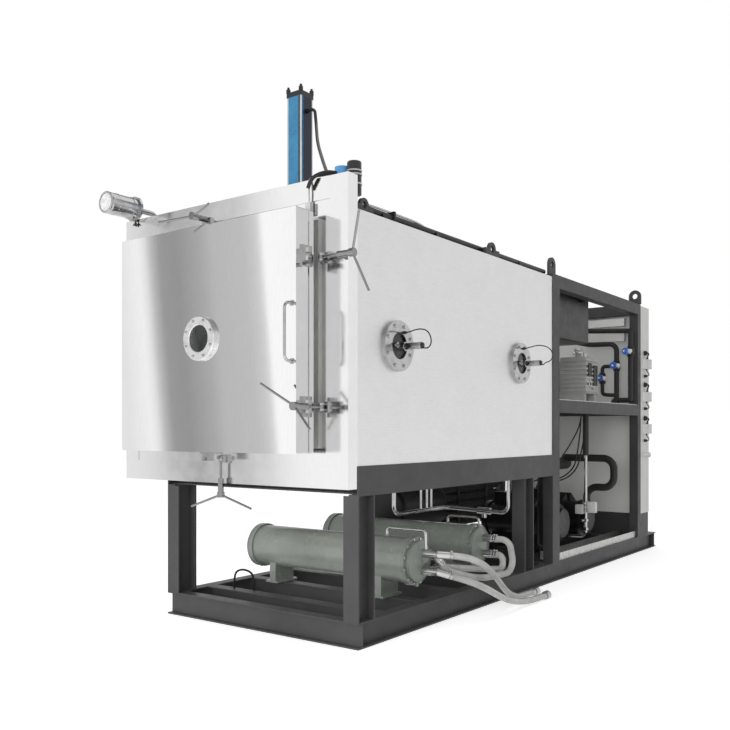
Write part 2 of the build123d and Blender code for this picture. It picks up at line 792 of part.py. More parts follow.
# ---- Stoppering cylinder ------------------------------------------------------------------------------
tie_places = [(chamber_x + sx * tie_pitch / 2, ram_y + sy * tie_pitch / 2) for sx in (-1, 1) for sy in (-1, 1)]
corner = (ram_square - tie_pitch) / 2 + tie_rod / 2 + 2
with BuildPart() as barrel:
    rod((chamber_x, ram_y, vessel_ceiling), (chamber_x, ram_y, chamber_top), ram_gland)
    with BuildSketch(Plane.XY.offset(chamber_top)):
        with Locations((chamber_x, ram_y)):
            RectangleRounded(1.6 * ram_square, 1.6 * ram_square, 12)
    extrude(amount=ram_base)
    with BuildSketch(Plane.XY.offset(ram_floor)):
        with Locations((chamber_x, ram_y)):
            Rectangle(ram_square, ram_square)
            with GridLocations(ram_square - corner, ram_square - corner, 2, 2):
                Rectangle(corner, corner, mode=Mode.SUBTRACT)
            Circle(ram_bore / 2, mode=Mode.SUBTRACT)
    extrude(amount=ram_barrel_length)
    rod((chamber_x, ram_y, vessel_ceiling), (chamber_x, ram_y, ram_floor), ram_rod + 2 * running, Mode.SUBTRACT)
barrel.part.label = "ram_barrel"
export_step(barrel.part, "parts/ram_barrel.step")

with BuildPart() as tie_rods:
    with BuildSketch(Plane.XY.offset(ram_floor)):
        with Locations(*tie_places):
            Circle(tie_rod / 2)
    extrude(amount=ram_barrel_length)
    with BuildSketch(Plane.XY.offset(ram_top)):
        with Locations((chamber_x, ram_y)):
            RectangleRounded(ram_square, ram_square, 8)
    extrude(amount=ram_cap)
    with BuildSketch(Plane.XY.offset(ram_top + ram_cap)):
        with Locations(*tie_places):
            RegularPolygon(tie_nut, 6)
    extrude(amount=nut_height)
    with BuildSketch(Plane.XY.offset(ram_top + ram_cap + nut_height)):
        with Locations(*tie_places):
            Circle(tie_rod / 2)
    extrude(amount=14)
tie_rods.part.label = "ram_head_and_tie_rods"
export_step(tie_rods.part, "parts/ram_head_and_tie_rods.step")

plate_top = pressure_plate_z + pressure_plate_thickness
piston_top = ram_top - ram_piston_rest

# ---- Shelf stack on four guide rods -------------------------------------------------------------------
guide_x = shelf_width / 2 + guide_ear / 2
guide_y = shelf_depth / 2 - 1.5 * guide_ear
guide_places = [(chamber_x + sx * guide_x, ram_y + sy * guide_y) for sx in (-1, 1) for sy in (-1, 1)]


def shelf_sketch():
    """A shelf with an ear round each guide rod."""
    with Locations((chamber_x, ram_y)):
        Rectangle(shelf_width, shelf_depth)
        with GridLocations(2 * guide_x, 2 * guide_y, 2, 2):
            Rectangle(guide_ear, guide_ear)
            Circle(guide_rod / 2 + running, mode=Mode.SUBTRACT)

with BuildPart() as pressure_plate:
    with BuildSketch(Plane.XY.offset(pressure_plate_z)):
        shelf_sketch()
    extrude(amount=pressure_plate_thickness)
    rod((chamber_x, ram_y, plate_top), (chamber_x, ram_y, piston_top), ram_rod)
    rod((chamber_x, ram_y, piston_top - ram_piston), (chamber_x, ram_y, piston_top), ram_bore - 2 * running)
pressure_plate.part.label = "pressure_plate"
export_step(pressure_plate.part, "parts/pressure_plate.step")

leg_x = shelf_width / 2 - shelf_leg_inset
leg_y = shelf_depth / 2 - shelf_leg_inset
for number in range(moving_shelves + 1):
    shelf_name = f"shelf_{number}" if number else "shelf_fixed"
    with BuildPart() as shelf:
        with BuildSketch(Plane.XY.offset(shelf_lowest + number * shelf_pitch)):
            shelf_sketch()
        extrude(amount=shelf_thickness)
        if number == 0:
            with BuildSketch(Plane.XY.offset(vessel_floor)):
                with Locations((chamber_x, ram_y)):
                    with GridLocations(2 * leg_x, 2 * leg_y, 2, 2):
                        Rectangle(shelf_leg, shelf_leg)
            extrude(amount=shelf_lowest - vessel_floor)
    shelf.part.label = shelf_name
    export_step(shelf.part, f"parts/{shelf_name}.step")

with BuildPart() as guide_rods:
    with BuildSketch(Plane.XY.offset(vessel_floor)):
        with Locations(*guide_places):
            Circle(guide_rod / 2)
    extrude(amount=vessel_height)
guide_rods.part.label = "guide_rods"
export_step(guide_rods.part, "parts/guide_rods.step")

# ---- Partition, isolation valve and ice condenser behind the shelves ----------------------------------
valve_back = partition_y + valve_stroke + slack
valve_stem_end = vessel_back - valve_barrel_length + valve_barrel_cap + valve_stroke
with BuildPart() as isolation_valve:
    with BuildSketch(Plane.XZ.offset(-(valve_back + valve_disc_thickness))):
        with Locations((chamber_x, door_z)):
            Circle(valve_disc / 2)
    extrude(amount=valve_disc_thickness)
    rod((chamber_x, valve_back, door_z), (chamber_x, valve_stem_end, door_z), valve_stem)
isolation_valve.part.label = "isolation_valve"
export_step(isolation_valve.part, "parts/isolation_valve.step")

valve_barrel_start = vessel_back - valve_barrel_length
valve_barrel_floor = vessel_back - valve_barrel_cap
with BuildPart() as valve_cylinder:
    rod((chamber_x, valve_barrel_start, door_z), (chamber_x, vessel_back, door_z), valve_barrel)
    rod(
        (chamber_x, valve_barrel_start, door_z),
        (chamber_x, valve_barrel_floor, door_z),
        valve_stem + 2 * running,
        Mode.SUBTRACT,
    )
valve_cylinder.part.label = "valve_cylinder"
export_step(valve_cylinder.part, "parts/valve_cylinder.step")

coil_x = vessel_width / 2 - 60.0
with BuildPart() as ice_coil:
    for side in (-1, 1):
        for row in range(coil_rows):
            coil_z = vessel_floor + 120.0 + row * coil_pitch
            rod(
                (chamber_x + side * coil_x, partition_y + 40, coil_z),
                (chamber_x + side * coil_x, vessel_back, coil_z),
                coil_tube,
            )
        span_box(
            (chamber_x + side * coil_x - 20, chamber_x + side * coil_x + 20),
            (partition_y + 20, partition_y + 60),
            (vessel_floor, vessel_floor + 120.0 + coil_rows * coil_pitch),
        )
ice_coil.part.label = "ice_coil"
export_step(ice_coil.part, "parts/ice_coil.step")

# ---- Lifting lugs, top pipes and the housing at the top left -------------------------------------------
rack_front_y = chamber_rear + post_gap + rack_front_post_depth / 2
rack_back_post_y = rack_rear_y - rack_post / 2
rack_post_x = half_width - rack_post / 2
lug_rows = (
    (chamber_front, *front_lug),
    (chamber_front + rear_lug_place * chamber_length, *rear_lug),
)
with BuildPart() as lifting_lugs:
    for start, length, rise in lug_rows:
        middle = start + length / 2
        for x in (chamber_left + lug_edge, chamber_right - lug_edge - lug_plate):
            with BuildSketch(Plane.YZ.offset(x)):
                with Locations((middle, chamber_top + rise / 4)):
                    Rectangle(length, rise / 2)
                with Locations((middle, chamber_top + rise / 2)):
                    Circle(rise / 2)
                    Circle(rise / 4, mode=Mode.SUBTRACT)
            extrude(amount=lug_plate)
    for x in (-rack_post_x, rack_post_x):
        with BuildSketch(Plane.YZ.offset(x - lug_plate / 2)):
            with Locations((rack_front_y, rack_top + ring_rise / 2)):
                Rectangle(ring_width, ring_rise)
            with Locations((rack_front_y, rack_top + ring_rise)):
                Circle(ring_width / 2)
                Circle(lug_hole / 2, mode=Mode.SUBTRACT)
        extrude(amount=lug_plate)
        with BuildSketch(Plane.XZ.offset(-(rack_back_post_y + lug_plate / 2))):
            with Locations((x, rack_top + ring_rise / 2)):
                Rectangle(ring_width, ring_rise)
            with Locations((x, rack_top + ring_rise)):
                Circle(ring_width / 2)
                Circle(lug_hole / 2, mode=Mode.SUBTRACT)
        extrude(amount=lug_plate)
lifting_lugs.part.label = "lifting_lugs"
export_step(lifting_lugs.part, "parts/lifting_lugs.step")

top_pipe_x = chamber_right - top_pipe_inset
top_pipe_z = chamber_top + top_pipe
top_pipe_ends = (chamber_front + saddle_width, chamber_rear - saddle_width / 2)
saddle_pitch = (chamber_length - 4 * saddle_width) / 4
with BuildPart() as top_pipes:
    rod((top_pipe_x, top_pipe_ends[0], top_pipe_z), (top_pipe_x, top_pipe_ends[1], top_pipe_z), top_pipe)
    for step in range(4):
        saddle_y = chamber_front + (step + 0.5) * saddle_pitch
        span_box(
            (top_pipe_x - saddle_width / 2, top_pipe_x + saddle_width / 2),
            (saddle_y, saddle_y + saddle_width),
            (chamber_top, top_pipe_z),
        )
top_pipes.part.label = "top_pipes"
export_step(top_pipes.part, "parts/top_pipes.step")

housing_x = chamber_left + housing_inset
housing_z = frame_top + housing_rise
housing_back = chamber_front - housing_setback
stub_y = chamber_front + 100.0
with BuildPart() as lamp_housing:
    with BuildLine() as stub_line:
        FilletPolyline(
            (housing_x, housing_back, housing_z),
            (housing_x, stub_y, housing_z),
            (housing_x, stub_y, chamber_top),
            radius=2 * housing_stub,
        )
    with BuildSketch(Plane.XZ.offset(-housing_back)):
        with Locations((housing_x, housing_z)):
            Circle(housing_stub / 2)
    sweep(path=stub_line.line)
    with BuildSketch(Plane.XZ.offset(-housing_back)):
        with Locations((housing_x, housing_z)):
            Circle(housing_flange / 2)
    extrude(amount=housing_flange_thickness)
    with BuildSketch(Plane.XZ.offset(-(housing_back - housing_flange_thickness))):
        with Locations((housing_x, housing_z)):
            Circle(housing_diameter / 2)
    extrude(amount=housing_length - housing_flange_thickness)
    fillet(lamp_housing.edges().filter_by(GeomType.CIRCLE).group_by(Axis.Y)[0], 18)
lamp_housing.part.label = "lamp_housing"
export_step(lamp_housing.part, "parts/lamp_housing.step")

# ---- Shell-and-tube condensers ------------------------------------------------------------------------
with BuildPart() as condenser_shells:
    for y, (left, right) in zip(condenser_ys, condenser_ends):
        shell_left = left + cover_length
        shell_right = right - cover_length
        for x in (-foot_x, foot_x):
            span_box(
                (x - foot_thickness / 2, x + foot_thickness / 2),
                (y - foot_length / 2, y + foot_length / 2),
                (beam_height, condenser_z),
            )
            span_box(
                (x - foot_thickness, x + foot_thickness),
                (y - foot_length / 2 - foot_plate, y + foot_length / 2 + foot_plate),
                (beam_height, beam_height + foot_plate),
            )
        rod((shell_left, y, condenser_z), (shell_right, y, condenser_z), condenser_shell)
        rod((shell_left, y, condenser_z), (shell_left + cover_flange, y, condenser_z), condenser_cover)
        rod((shell_right - cover_flange, y, condenser_z), (shell_right, y, condenser_z), condenser_cover)
condenser_shells.part.label = "condenser_shells"
export_step(condenser_shells.part, "parts/condenser_shells.step")

port_high = condenser_z + water_port_pitch / 2
port_low = condenser_z - water_port_pitch / 2
a_right = condenser_ends[0][1] + nozzle_reach
b_right = condenser_ends[1][1] + nozzle_reach
a_y, b_y = condenser_ys
supply_elbow = Vector(a_right + elbow_reach, a_y, port_high)
return_elbow = Vector(a_right + elbow_reach, a_y, port_low)
supply_first = Vector(898, -1631, 407)
return_first = Vector(906, -1646, 278)
supply_start = supply_elbow + (supply_first - supply_elbow).normalized() * tail_reach
return_start = return_elbow + (return_first - return_elbow).normalized() * tail_reach
bridge_root = Vector(a_right + 22, a_y, port_high)
bridge_direction = Vector(0, 0.8, -0.6)
bridge_start = bridge_root + bridge_direction * tail_reach
link_root = Vector(a_right - 20, a_y, port_low)
link_direction = Vector(0, 1, 0)
link_start = link_root + link_direction * tail_reach
dish_radius = (condenser_drum**2 / 4 + cover_dome**2) / (2 * cover_dome)
dish_half = condenser_drum / 4
dish_sag = dish_radius - (dish_radius**2 - dish_half**2) ** 0.5
staple_z = condenser_z + condenser_shell / 2
staples = ((438.0, 716.0, port_high), (368.0, 612.0, port_high))
with BuildPart() as condenser_covers:
    for y, ends in zip(condenser_ys, condenser_ends):
        for end, away in zip(ends, (-1, 1)):
            tip = Plane(origin=(end, y, condenser_z), x_dir=(away, 0, 0), z_dir=(0, -away, 0))
            with BuildSketch(tip):
                with BuildLine():
                    Polyline(
                        (0, 0),
                        (-cover_length, 0),
                        (-cover_length, condenser_cover / 2),
                        (cover_flange - cover_length, condenser_cover / 2),
                        (cover_flange - cover_length, condenser_drum / 2),
                        (-cover_dome, condenser_drum / 2),
                    )
                    ThreePointArc((-cover_dome, condenser_drum / 2), (-dish_sag, dish_half), (0, 0))
                make_face()
            revolve(axis=Axis((end, y, condenser_z), (1, 0, 0)))
            drain_x = end - away * (cover_length + cover_flange) / 2
            drain_z = condenser_z - condenser_drum / 2
            rod((drain_x, y, drain_z - drain_drop), (drain_x, y, condenser_z), drain_stub)
        for side in (-1, 1):
            port_height = condenser_z + side * water_port_pitch / 2
            root = ends[1] - cover_length
            rod((root, y, port_height), (ends[1] + nozzle_reach, y, port_height), water_port)
    for y, (foot, drop, landing) in zip(condenser_ys, staples):
        with BuildLine() as staple_line:
            FilletPolyline(
                (foot, y, staple_z),
                (foot, y, staple_z + staple_rise),
                (drop, y, staple_z + staple_rise),
                (drop, y, landing),
                radius=1.5 * staple_pipe,
            )
        with BuildSketch(Plane.XY.offset(staple_z)):
            with Locations((foot, y)):
                Circle(staple_pipe / 2)
        sweep(path=staple_line.line)
    for elbow, end in ((supply_elbow, supply_start), (return_elbow, return_start)):
        rod((a_right, a_y, elbow.Z), elbow, hose_tail)
        rod(elbow, end, hose_tail)
        with Locations(elbow):
            Sphere(hose_tail / 2)
    rod(bridge_root, bridge_start, hose_tail)
    rod(link_root, link_start, hose_tail)
    for height in (port_low, port_high):
        rod((b_right, b_y, height), (b_right + short_tail, b_y, height), hose_tail)
condenser_covers.part.label = "condenser_covers"
export_step(condenser_covers.part, "parts/condenser_covers.step")

# ---- Machinery rack -----------------------------------------------------------------------------------
with BuildPart() as rack_posts:
    with BuildSketch(Plane.XY.offset(beam_height)):
        with Locations((-rack_post_x, rack_front_y), (rack_post_x, rack_front_y)):
            hollow_profile(rack_post, rack_front_post_depth)
        with Locations((-rack_post_x, rack_back_post_y), (rack_post_x, rack_back_post_y)):
            hollow_profile(rack_post, rack_post)
    extrude(amount=rack_top - beam_height)
    with BuildSketch(Plane.XY.offset(rack_top - rack_wall)):
        with Locations((-rack_post_x, rack_front_y), (rack_post_x, rack_front_y)):
            Rectangle(rack_post, rack_front_post_depth)
        with Locations((-rack_post_x, rack_back_post_y), (rack_post_x, rack_back_post_y)):
            Rectangle(rack_post, rack_post)
    extrude(amount=rack_wall)
rack_posts.part.label = "rack_posts"
export_step(rack_posts.part, "parts/rack_posts.step")

rail_levels = (rack_top - rack_rail_depth / 2, rack_mid_rail_top - rack_rail_depth / 2)
rail_front = rack_front_y + rack_front_post_depth / 2
rail_back = rack_back_post_y - rack_post / 2
with BuildPart() as rack_rails:
    with BuildSketch(Plane.XZ.offset(-rail_back)):
        with Locations(*((x, z) for x in (-rack_post_x, rack_post_x) for z in rail_levels)):
            hollow_profile(rack_post, rack_rail_depth)
    extrude(amount=rail_back - rail_front)
    with BuildSketch(Plane.YZ.offset(-(rack_post_x - rack_post / 2))):
        with Locations(*((y, z) for y in (rack_front_y, rack_back_post_y) for z in rail_levels)):
            hollow_profile(rack_post, rack_rail_depth)
    extrude(amount=2 * rack_post_x - rack_post)
    with BuildSketch(Plane.XY.offset(beam_height)):
        with Locations((0, rack_rear_y + cabinet_depth / 2)):
            Rectangle(skid_width, cabinet_depth)
            Rectangle(skid_width - 2 * rack_wall, cabinet_depth - 2 * rack_wall, mode=Mode.SUBTRACT)
    extrude(amount=cabinet_bottom - beam_height)
rack_rails.part.label = "rack_rails"
export_step(rack_rails.part, "parts/rack_rails.step")

with BuildPart() as deck:
    span_box(
        (-half_width + deck_thickness, half_width - deck_thickness),
        (rail_front, rail_back),
        (rack_mid_rail_top, rack_mid_rail_top + deck_thickness),
    )
deck.part.label = "pump_deck"
export_step(deck.part, "parts/pump_deck.step")

# ---- Vane pump ----------------------------------------------------------------------------------------
deck_top = rack_mid_rail_top + deck_thickness
pump_low = deck_top + pump_rise
pump_high = pump_low + pump_height
pump_left, pump_right = pump_x
pump_front, pump_back = pump_y
motor_z = (pump_low + pump_high) / 2
motor_y = (pump_front + pump_back) / 2
inlet_x = (pump_left + pump_right) / 2
motor_flange_x = pump_left - pump_motor_length / 6
fin_pitch = (pump_height - 2 * fin_margin) / (fin_count - 1)
with BuildPart() as vacuum_pump:
    span_box(
        (pump_left + fin_proud, pump_right), (pump_front + pump_skin, pump_back), (pump_low, pump_high)
    )
    fillet(vacuum_pump.edges().filter_by(Axis.Y), pump_skin)
    for fin in range(fin_count):
        fin_z = pump_low + fin_margin + fin * fin_pitch
        span_box(
            (pump_left + fin_margin, pump_right + fin_proud),
            (pump_front, pump_back - fin_margin),
            (fin_z - fin_thickness / 2, fin_z + fin_thickness / 2),
        )
    for y, inward in ((pump_front, 1), (pump_back, -1)):
        foot_y = y + inward * pump_foot_thickness
        span_box(
            (pump_left - pump_foot_reach, pump_right - fin_proud),
            (foot_y - pump_foot_thickness / 2, foot_y + pump_foot_thickness / 2),
            (deck_top, pump_low + pump_skin),
        )
    rod((pump_left - pump_motor_length, motor_y, motor_z), (pump_left + fin_margin, motor_y, motor_z), pump_motor)
    rod(
        (motor_flange_x - pump_skin, motor_y, motor_z),
        (motor_flange_x + pump_skin, motor_y, motor_z),
        pump_motor_flange,
    )
    inlet_top = pump_high + pump_inlet_height
    rod((inlet_x, motor_y, pump_high), (inlet_x, motor_y, inlet_top), pump_inlet)
    rod((inlet_x, motor_y, inlet_top), (inlet_x, motor_y, inlet_top + pump_cap_height), pump_inlet_cap)
vacuum_pump.part.label = "vacuum_pump"
export_step(vacuum_pump.part, "parts/vacuum_pump.step")

# ---- Compressors: a body along X with a sump, two tilted cylinder heads, terminals and an end bell -------
rail_top = beam_height + base_rail
body_left = compressor_x - compressor_length / 2
body_right = compressor_x + compressor_length / 2
head_x = compressor_x + compressor_head[0] / 2
terminals_x = body_left + compressor_terminals[0]
header_low = suction_header_z - suction_header / 2
with BuildPart() as compressors:
    for y in compressor_ys:
        rod((body_left, y, compressor_z), (body_right, y, compressor_z), compressor_body)
        bell_end = (body_right + compressor_bell_length, y, compressor_z)
        rod((body_right, y, compressor_z), bell_end, compressor_bell)
        for x in (body_left, compressor_x, body_right - pump_foot_thickness):
            rod((x, y, compressor_z), (x + pump_foot_thickness, y, compressor_z), compressor_rib)
        for tilt in (-compressor_head_tilt, compressor_head_tilt):
            reach = Vector(0, sin(radians(tilt)), cos(radians(tilt)))
            root = Vector(head_x, y, compressor_z)
            with Locations(Plane(origin=root, x_dir=(1, 0, 0), z_dir=reach)):
                Box(
                    compressor_head[0],
                    compressor_head[1],
                    compressor_head_reach,
                    align=(Align.CENTER, Align.CENTER, Align.MIN),
                )
            with Locations(Plane(origin=root + reach * compressor_head_reach, x_dir=(1, 0, 0), z_dir=reach)):
                Box(
                    compressor_head[0] + compressor_bell_length,
                    compressor_head[1] + compressor_bell_length / 2,
                    compressor_head[2],
                    align=(Align.CENTER, Align.CENTER, Align.MAX),
                )
        rod((suction_header_x, y, compressor_z), (suction_header_x, y, header_low), compressor_valve)
        span_box(
            (terminals_x - compressor_terminals[0] / 2, terminals_x + compressor_terminals[0] / 2),
            (y - compressor_terminals[1] / 2, y + compressor_terminals[1] / 2),
            (compressor_z, compressor_z + compressor_body / 2 + compressor_terminals[2]),
        )
        span_box(
            (compressor_x - compressor_sump[0] / 2, compressor_x + compressor_sump[0] / 2),
            (y - compressor_sump[1] / 2, y + compressor_sump[1] / 2),
            (rail_top, compressor_z),
        )
    for side in (-1, 1):
        x = compressor_x + side * (compressor_sump[0] - base_rail) / 2
        span_box(
            (x - base_rail_width / 2, x + base_rail_width / 2),
            (machine_beam_ys[0], machine_beam_ys[-1]),
            (beam_height, rail_top),
        )
compressors.part.label = "compressors"
export_step(compressors.part, "parts/compressors.step")

# ---- Oil separator, liquid receiver under the chamber and heat exchanger under the rack's top -------------
separator_x, separator_y = separator_place
receiver_x, receiver_z = receiver_place
receiver_front, receiver_rear = (chamber_rear + end for end in receiver_ends)
exchanger_front, exchanger_rear = (chamber_rear + end for end in exchanger_ends)
hanger_end = rack_post_x - rack_post / 2
with BuildPart() as separator:
    rod((separator_x, separator_y, rail_top), (separator_x, separator_y, separator_top), separator_diameter)
    rod((receiver_x, receiver_front, receiver_z), (receiver_x, receiver_rear, receiver_z), receiver_diameter)
    fillet(separator.edges().filter_by(GeomType.CIRCLE), separator_round)
    with BuildSketch(Plane.XZ.offset(-exchanger_rear)):
        with Locations((sum(exchanger_x) / 2, sum(exchanger_z) / 2)):
            RectangleRounded(exchanger_x[1] - exchanger_x[0], exchanger_z[1] - exchanger_z[0], exchanger_round)
    extrude(amount=exchanger_rear - exchanger_front)
    rod((separator_x, separator_y, beam_height), (separator_x, separator_y, rail_top + separator_round), separator_skirt)
    for y in (mid_post_y, chamber_rear):
        span_box(
            (receiver_x - receiver_diameter / 3, receiver_x + receiver_diameter / 3),
            (y - receiver_foot / 2, y + receiver_foot / 2),
            (beam_height, receiver_z),
        )
    for y in (exchanger_front + hanger_inset, exchanger_rear - hanger_inset):
        span_box(
            (-hanger_end, hanger_end),
            (y - hanger_width / 2, y + hanger_width / 2),
            (exchanger_z[1] - hanger_width, rack_top - hanger_width / 2),
        )
separator.part.label = "oil_separator"
export_step(separator.part, "parts/oil_separator.step")

# ---- Refrigerant pipes, insulated in black ---------------------------------------------------------------
loop_top, loop_low = suction_loop
routes = {
    "suction loop": (suction_pipe, [
        (suction_header_x, suction_loop_y, loop_top[1]),
        (loop_top[0], suction_loop_y, loop_top[1]),
        (loop_low[0], suction_loop_y, loop_low[1]),
        (compressor_x + compressor_sump[0] / 2, suction_loop_y, loop_low[1]),
        (compressor_x + compressor_sump[0] / 2, suction_loop_y, rail_top),
    ]),
    "outer line": (line_pipe, [
        (line_outer[0][0], exchanger_rear, line_outer[0][1]),
        *((x, line_y, z) for x, z in line_outer),
        (line_outer[-1][0], line_y, deck_top),
    ]),
    "inner line": (line_pipe, [
        (line_inner[0][0], exchanger_rear, line_inner[0][1]),
        *((x, line_y, z) for x, z in line_inner),
        (line_inner[-1][0], line_y, deck_top),
    ]),
}
with BuildPart() as refrigerant_lines:
    header_start, header_end = suction_header_ends
    rod(
        (suction_header_x, header_start, suction_header_z),
        (suction_header_x, header_end, suction_header_z),
        suction_header,
    )
    for name, (diameter, points) in routes.items():
        runs = [(Vector(*after) - Vector(*before)).length for before, after in zip(points, points[1:])]
        bend = min(1.5 * diameter, 0.45 * min(runs))
        with BuildLine() as line:
            FilletPolyline(*points, radius=bend)
        leaving = (Vector(*points[1]) - Vector(*points[0])).normalized()
        with BuildSketch(Plane(origin=points[0], z_dir=leaving)):
            Circle(diameter / 2)
        sweep(path=line.line)
refrigerant_lines.part.label = "refrigerant_lines"
export_step(refrigerant_lines.part, "parts/refrigerant_lines.step")

# ---- Heat-transfer pipes under the chamber and the bright riser in the rack --------------------------------
riser_x, riser_y = riser_place
corner_z = coolant_z + coolant_fall
pipe_runs = (
    (coolant_pipe, [
        (coolant_riser_x, coolant_y, chamber_bottom),
        (coolant_riser_x, coolant_y, coolant_z),
        (coolant_x, coolant_y, corner_z),
        (coolant_x, coolant_end, corner_z),
        (coolant_x, coolant_end, chamber_bottom),
    ]),
    (riser_pipe, [
        (riser_x, riser_y, rack_mid_rail_top),
        (riser_x, riser_y, riser_low),
        (riser_foot_x, riser_y, riser_low),
        (riser_foot_x, compressor_ys[1] - compressor_sump[1] / 2, riser_low),
    ]),
)
with BuildPart() as coolant_pipes:
    for diameter, points in pipe_runs:
        with BuildLine() as line:
            FilletPolyline(*points, radius=2 * diameter)
        with BuildSketch(Plane(origin=points[0], z_dir=(0, 0, -1))):
            Circle(diameter / 2)
        sweep(path=line.line)
    for y in coolant_branches:
        rod((coolant_x, y, corner_z), (coolant_x, y, chamber_bottom), coolant_branch)
    slope = Vector(coolant_x - coolant_riser_x, 0, coolant_fall).normalized()
    strainer_share = (coolant_riser_x - strainer_x) / (coolant_riser_x - coolant_x)
    strainer_middle = Vector(strainer_x, coolant_y, coolant_z + coolant_fall * strainer_share)
    half_strainer = slope * (strainer_length / 2)
    rod(strainer_middle - half_strainer, strainer_middle + half_strainer, strainer)
    rod(strainer_middle - Vector(0, 0, strainer), strainer_middle, strainer * 0.7)
coolant_pipes.part.label = "coolant_pipes"
export_step(coolant_pipes.part, "parts/coolant_pipes.step")

# ---- Hydraulic valves on the roof, the ram's hose and the door sensor's lead -------------------------------
valve_y = chamber_front + valve_block_setback
valve_left = valve_block_x - valve_block[0] / 2
dome_x = valve_block_x
turret_x = valve_left + valve_block[0] + valve_turret / 2
block_top = chamber_top + valve_block[2]
dome_top = block_top + valve_dome_height
ram_side = chamber_x + ram_square / 2
ram_port_z = ram_top - ram_port_drop
sensor_top = frame_top - frame_band - lug_base
hydraulic_runs = (
    (oil_hose, [
        (ram_side, ram_y, ram_port_z), (-32.0, ram_y, ram_port_z), (-20.0, ram_y, ram_port_z - 100),
        (140.0, -2050.0, 2888.0),
        (349.0, -2250.0, 2682.0), (499.0, valve_y, 2556.0), (dome_x, valve_y, 2500.0),
    ]),
    (oil_hose / 2, [
        (dome_x, valve_y, dome_top - oil_hose), (524.0, -2470.0, 2520.0), (490.0, -2544.0, 2500.0),
        (sensor_x, -2548.0, 2420.0), (sensor_x, frame_face - sensor_box[1] / 2, sensor_top),
    ]),
)
with BuildPart() as hydraulic_lines:
    span_box(
        (valve_left, valve_left + valve_block[0]),
        (valve_y - valve_block[1] / 2, valve_y + valve_block[1] / 2),
        (chamber_top, block_top),
    )
    span_box(
        (dome_x, turret_x),
        (valve_y - valve_turret / 2, valve_y + valve_turret / 2),
        (block_top - valve_arm, block_top),
    )
    rod((dome_x, valve_y, block_top), (dome_x, valve_y, dome_top), valve_dome)
    rod((turret_x, valve_y, block_top - valve_arm), (turret_x, valve_y, block_top + valve_turret_height), valve_turret)
    fillet(hydraulic_lines.edges().filter_by(GeomType.CIRCLE).group_by(Axis.Z)[-1], valve_turret / 8)
    for diameter, points in hydraulic_runs:
        with BuildLine() as line:
            FilletPolyline(*points, radius=route_radii(points))
        leaving = (Vector(*points[1]) - Vector(*points[0])).normalized()
        with BuildSketch(Plane(origin=points[0], z_dir=leaving)):
            Circle(diameter / 2)
        sweep(path=line.line)
    rod((ram_side, ram_y, ram_port_z), (ram_side + oil_fitting / 2, ram_y, ram_port_z), oil_fitting)
    span_box(
        (sensor_x - sensor_box[0] / 2, sensor_x + sensor_box[0] / 2),
        (frame_face - sensor_box[1], vessel_front),
        (sensor_top - sensor_box[2], sensor_top),
    )
hydraulic_lines.part.label = "hydraulic_lines"
export_step(hydraulic_lines.part, "parts/hydraulic_lines.step")

# ---- Control cabinet ----------------------------------------------------------------------------------
cabinet_left = half_width - cabinet_width
cabinet_back = rack_rear_y + cabinet_depth
cabinet_pin_x = cabinet_left - cabinet_hinge_offset[0]
cabinet_pin_y = cabinet_back + cabinet_hinge_offset[1]
cabinet_hinge_zs = (cabinet_bottom + cabinet_hinge_inset, cabinet_top - cabinet_hinge_inset)
barrel_half = cabinet_barrel / 2
junction_y = rack_rear_y + junction_inset
with BuildPart() as cabinet:
    span_box((cabinet_left, half_width), (rack_rear_y, cabinet_back), (cabinet_bottom, cabinet_top))
    span_box(
        (cabinet_left + cabinet_wall, half_width - cabinet_wall),
        (rack_rear_y + cabinet_wall, cabinet_back),
        (cabinet_bottom + cabinet_wall, cabinet_top - cabinet_wall),
        mode=Mode.SUBTRACT,
    )
    for height in junction_heights:
        span_box(
            (half_width, half_width + junction_depth),
            (junction_y, junction_y + junction_size),
            (height - junction_size / 2, height + junction_size / 2),
        )
    for span in duct_heights:
        span_box(duct_span, (rack_rear_y - duct_depth, rack_rear_y), span)
    gland_y = junction_y + junction_size / 2
    rod((half_width, gland_y, last_gland_z), (half_width + junction_depth, gland_y, last_gland_z), gland_diameter)
    for height in cabinet_hinge_zs:
        span_box(
            (cabinet_left - barrel_half, cabinet_left),
            (cabinet_back - cabinet_barrel_height, cabinet_pin_y - barrel_half / 2),
            (height - cabinet_barrel_height, height),
        )
        pin_foot = (cabinet_pin_x, cabinet_pin_y, height - cabinet_barrel_height)
        rod(pin_foot, (cabinet_pin_x, cabinet_pin_y, height), cabinet_barrel)
        rod(pin_foot, (cabinet_pin_x, cabinet_pin_y, height + cabinet_barrel_height), cabinet_pin)
cabinet.part.label = "cabinet_shell"
export_step(cabinet.part, "parts/cabinet_shell.step")

handle_right = half_width - cabinet_handle[2] / 2
with BuildPart() as cabinet_door:
    span_box(
        (cabinet_left + cabinet_door_inset, half_width - cabinet_door_inset),
        (cabinet_back + slack, cabinet_back + cabinet_door_thickness),
        (cabinet_bottom + cabinet_door_inset, cabinet_top - cabinet_door_inset),
    )
    span_box(
        (handle_right - cabinet_handle[0], handle_right),
        (cabinet_back + cabinet_door_thickness, cabinet_back + cabinet_door_thickness + cabinet_handle[1]),
        (door_z - 2 * cabinet_handle[2], door_z - cabinet_handle[2]),
    )
    for height in cabinet_hinge_zs:
        pin_low = (cabinet_pin_x, cabinet_pin_y, height + slack)
        pin_high = (cabinet_pin_x, cabinet_pin_y, height + cabinet_barrel_height)
        rod(pin_low, pin_high, cabinet_barrel)
        span_box(
            (cabinet_pin_x, cabinet_left + barrel_half),
            (cabinet_pin_y - barrel_half / 2, cabinet_pin_y + barrel_half / 2),
            (height + slack, height + cabinet_barrel_height),
        )
        rod(pin_low, pin_high, cabinet_pin + 2 * running, Mode.SUBTRACT)
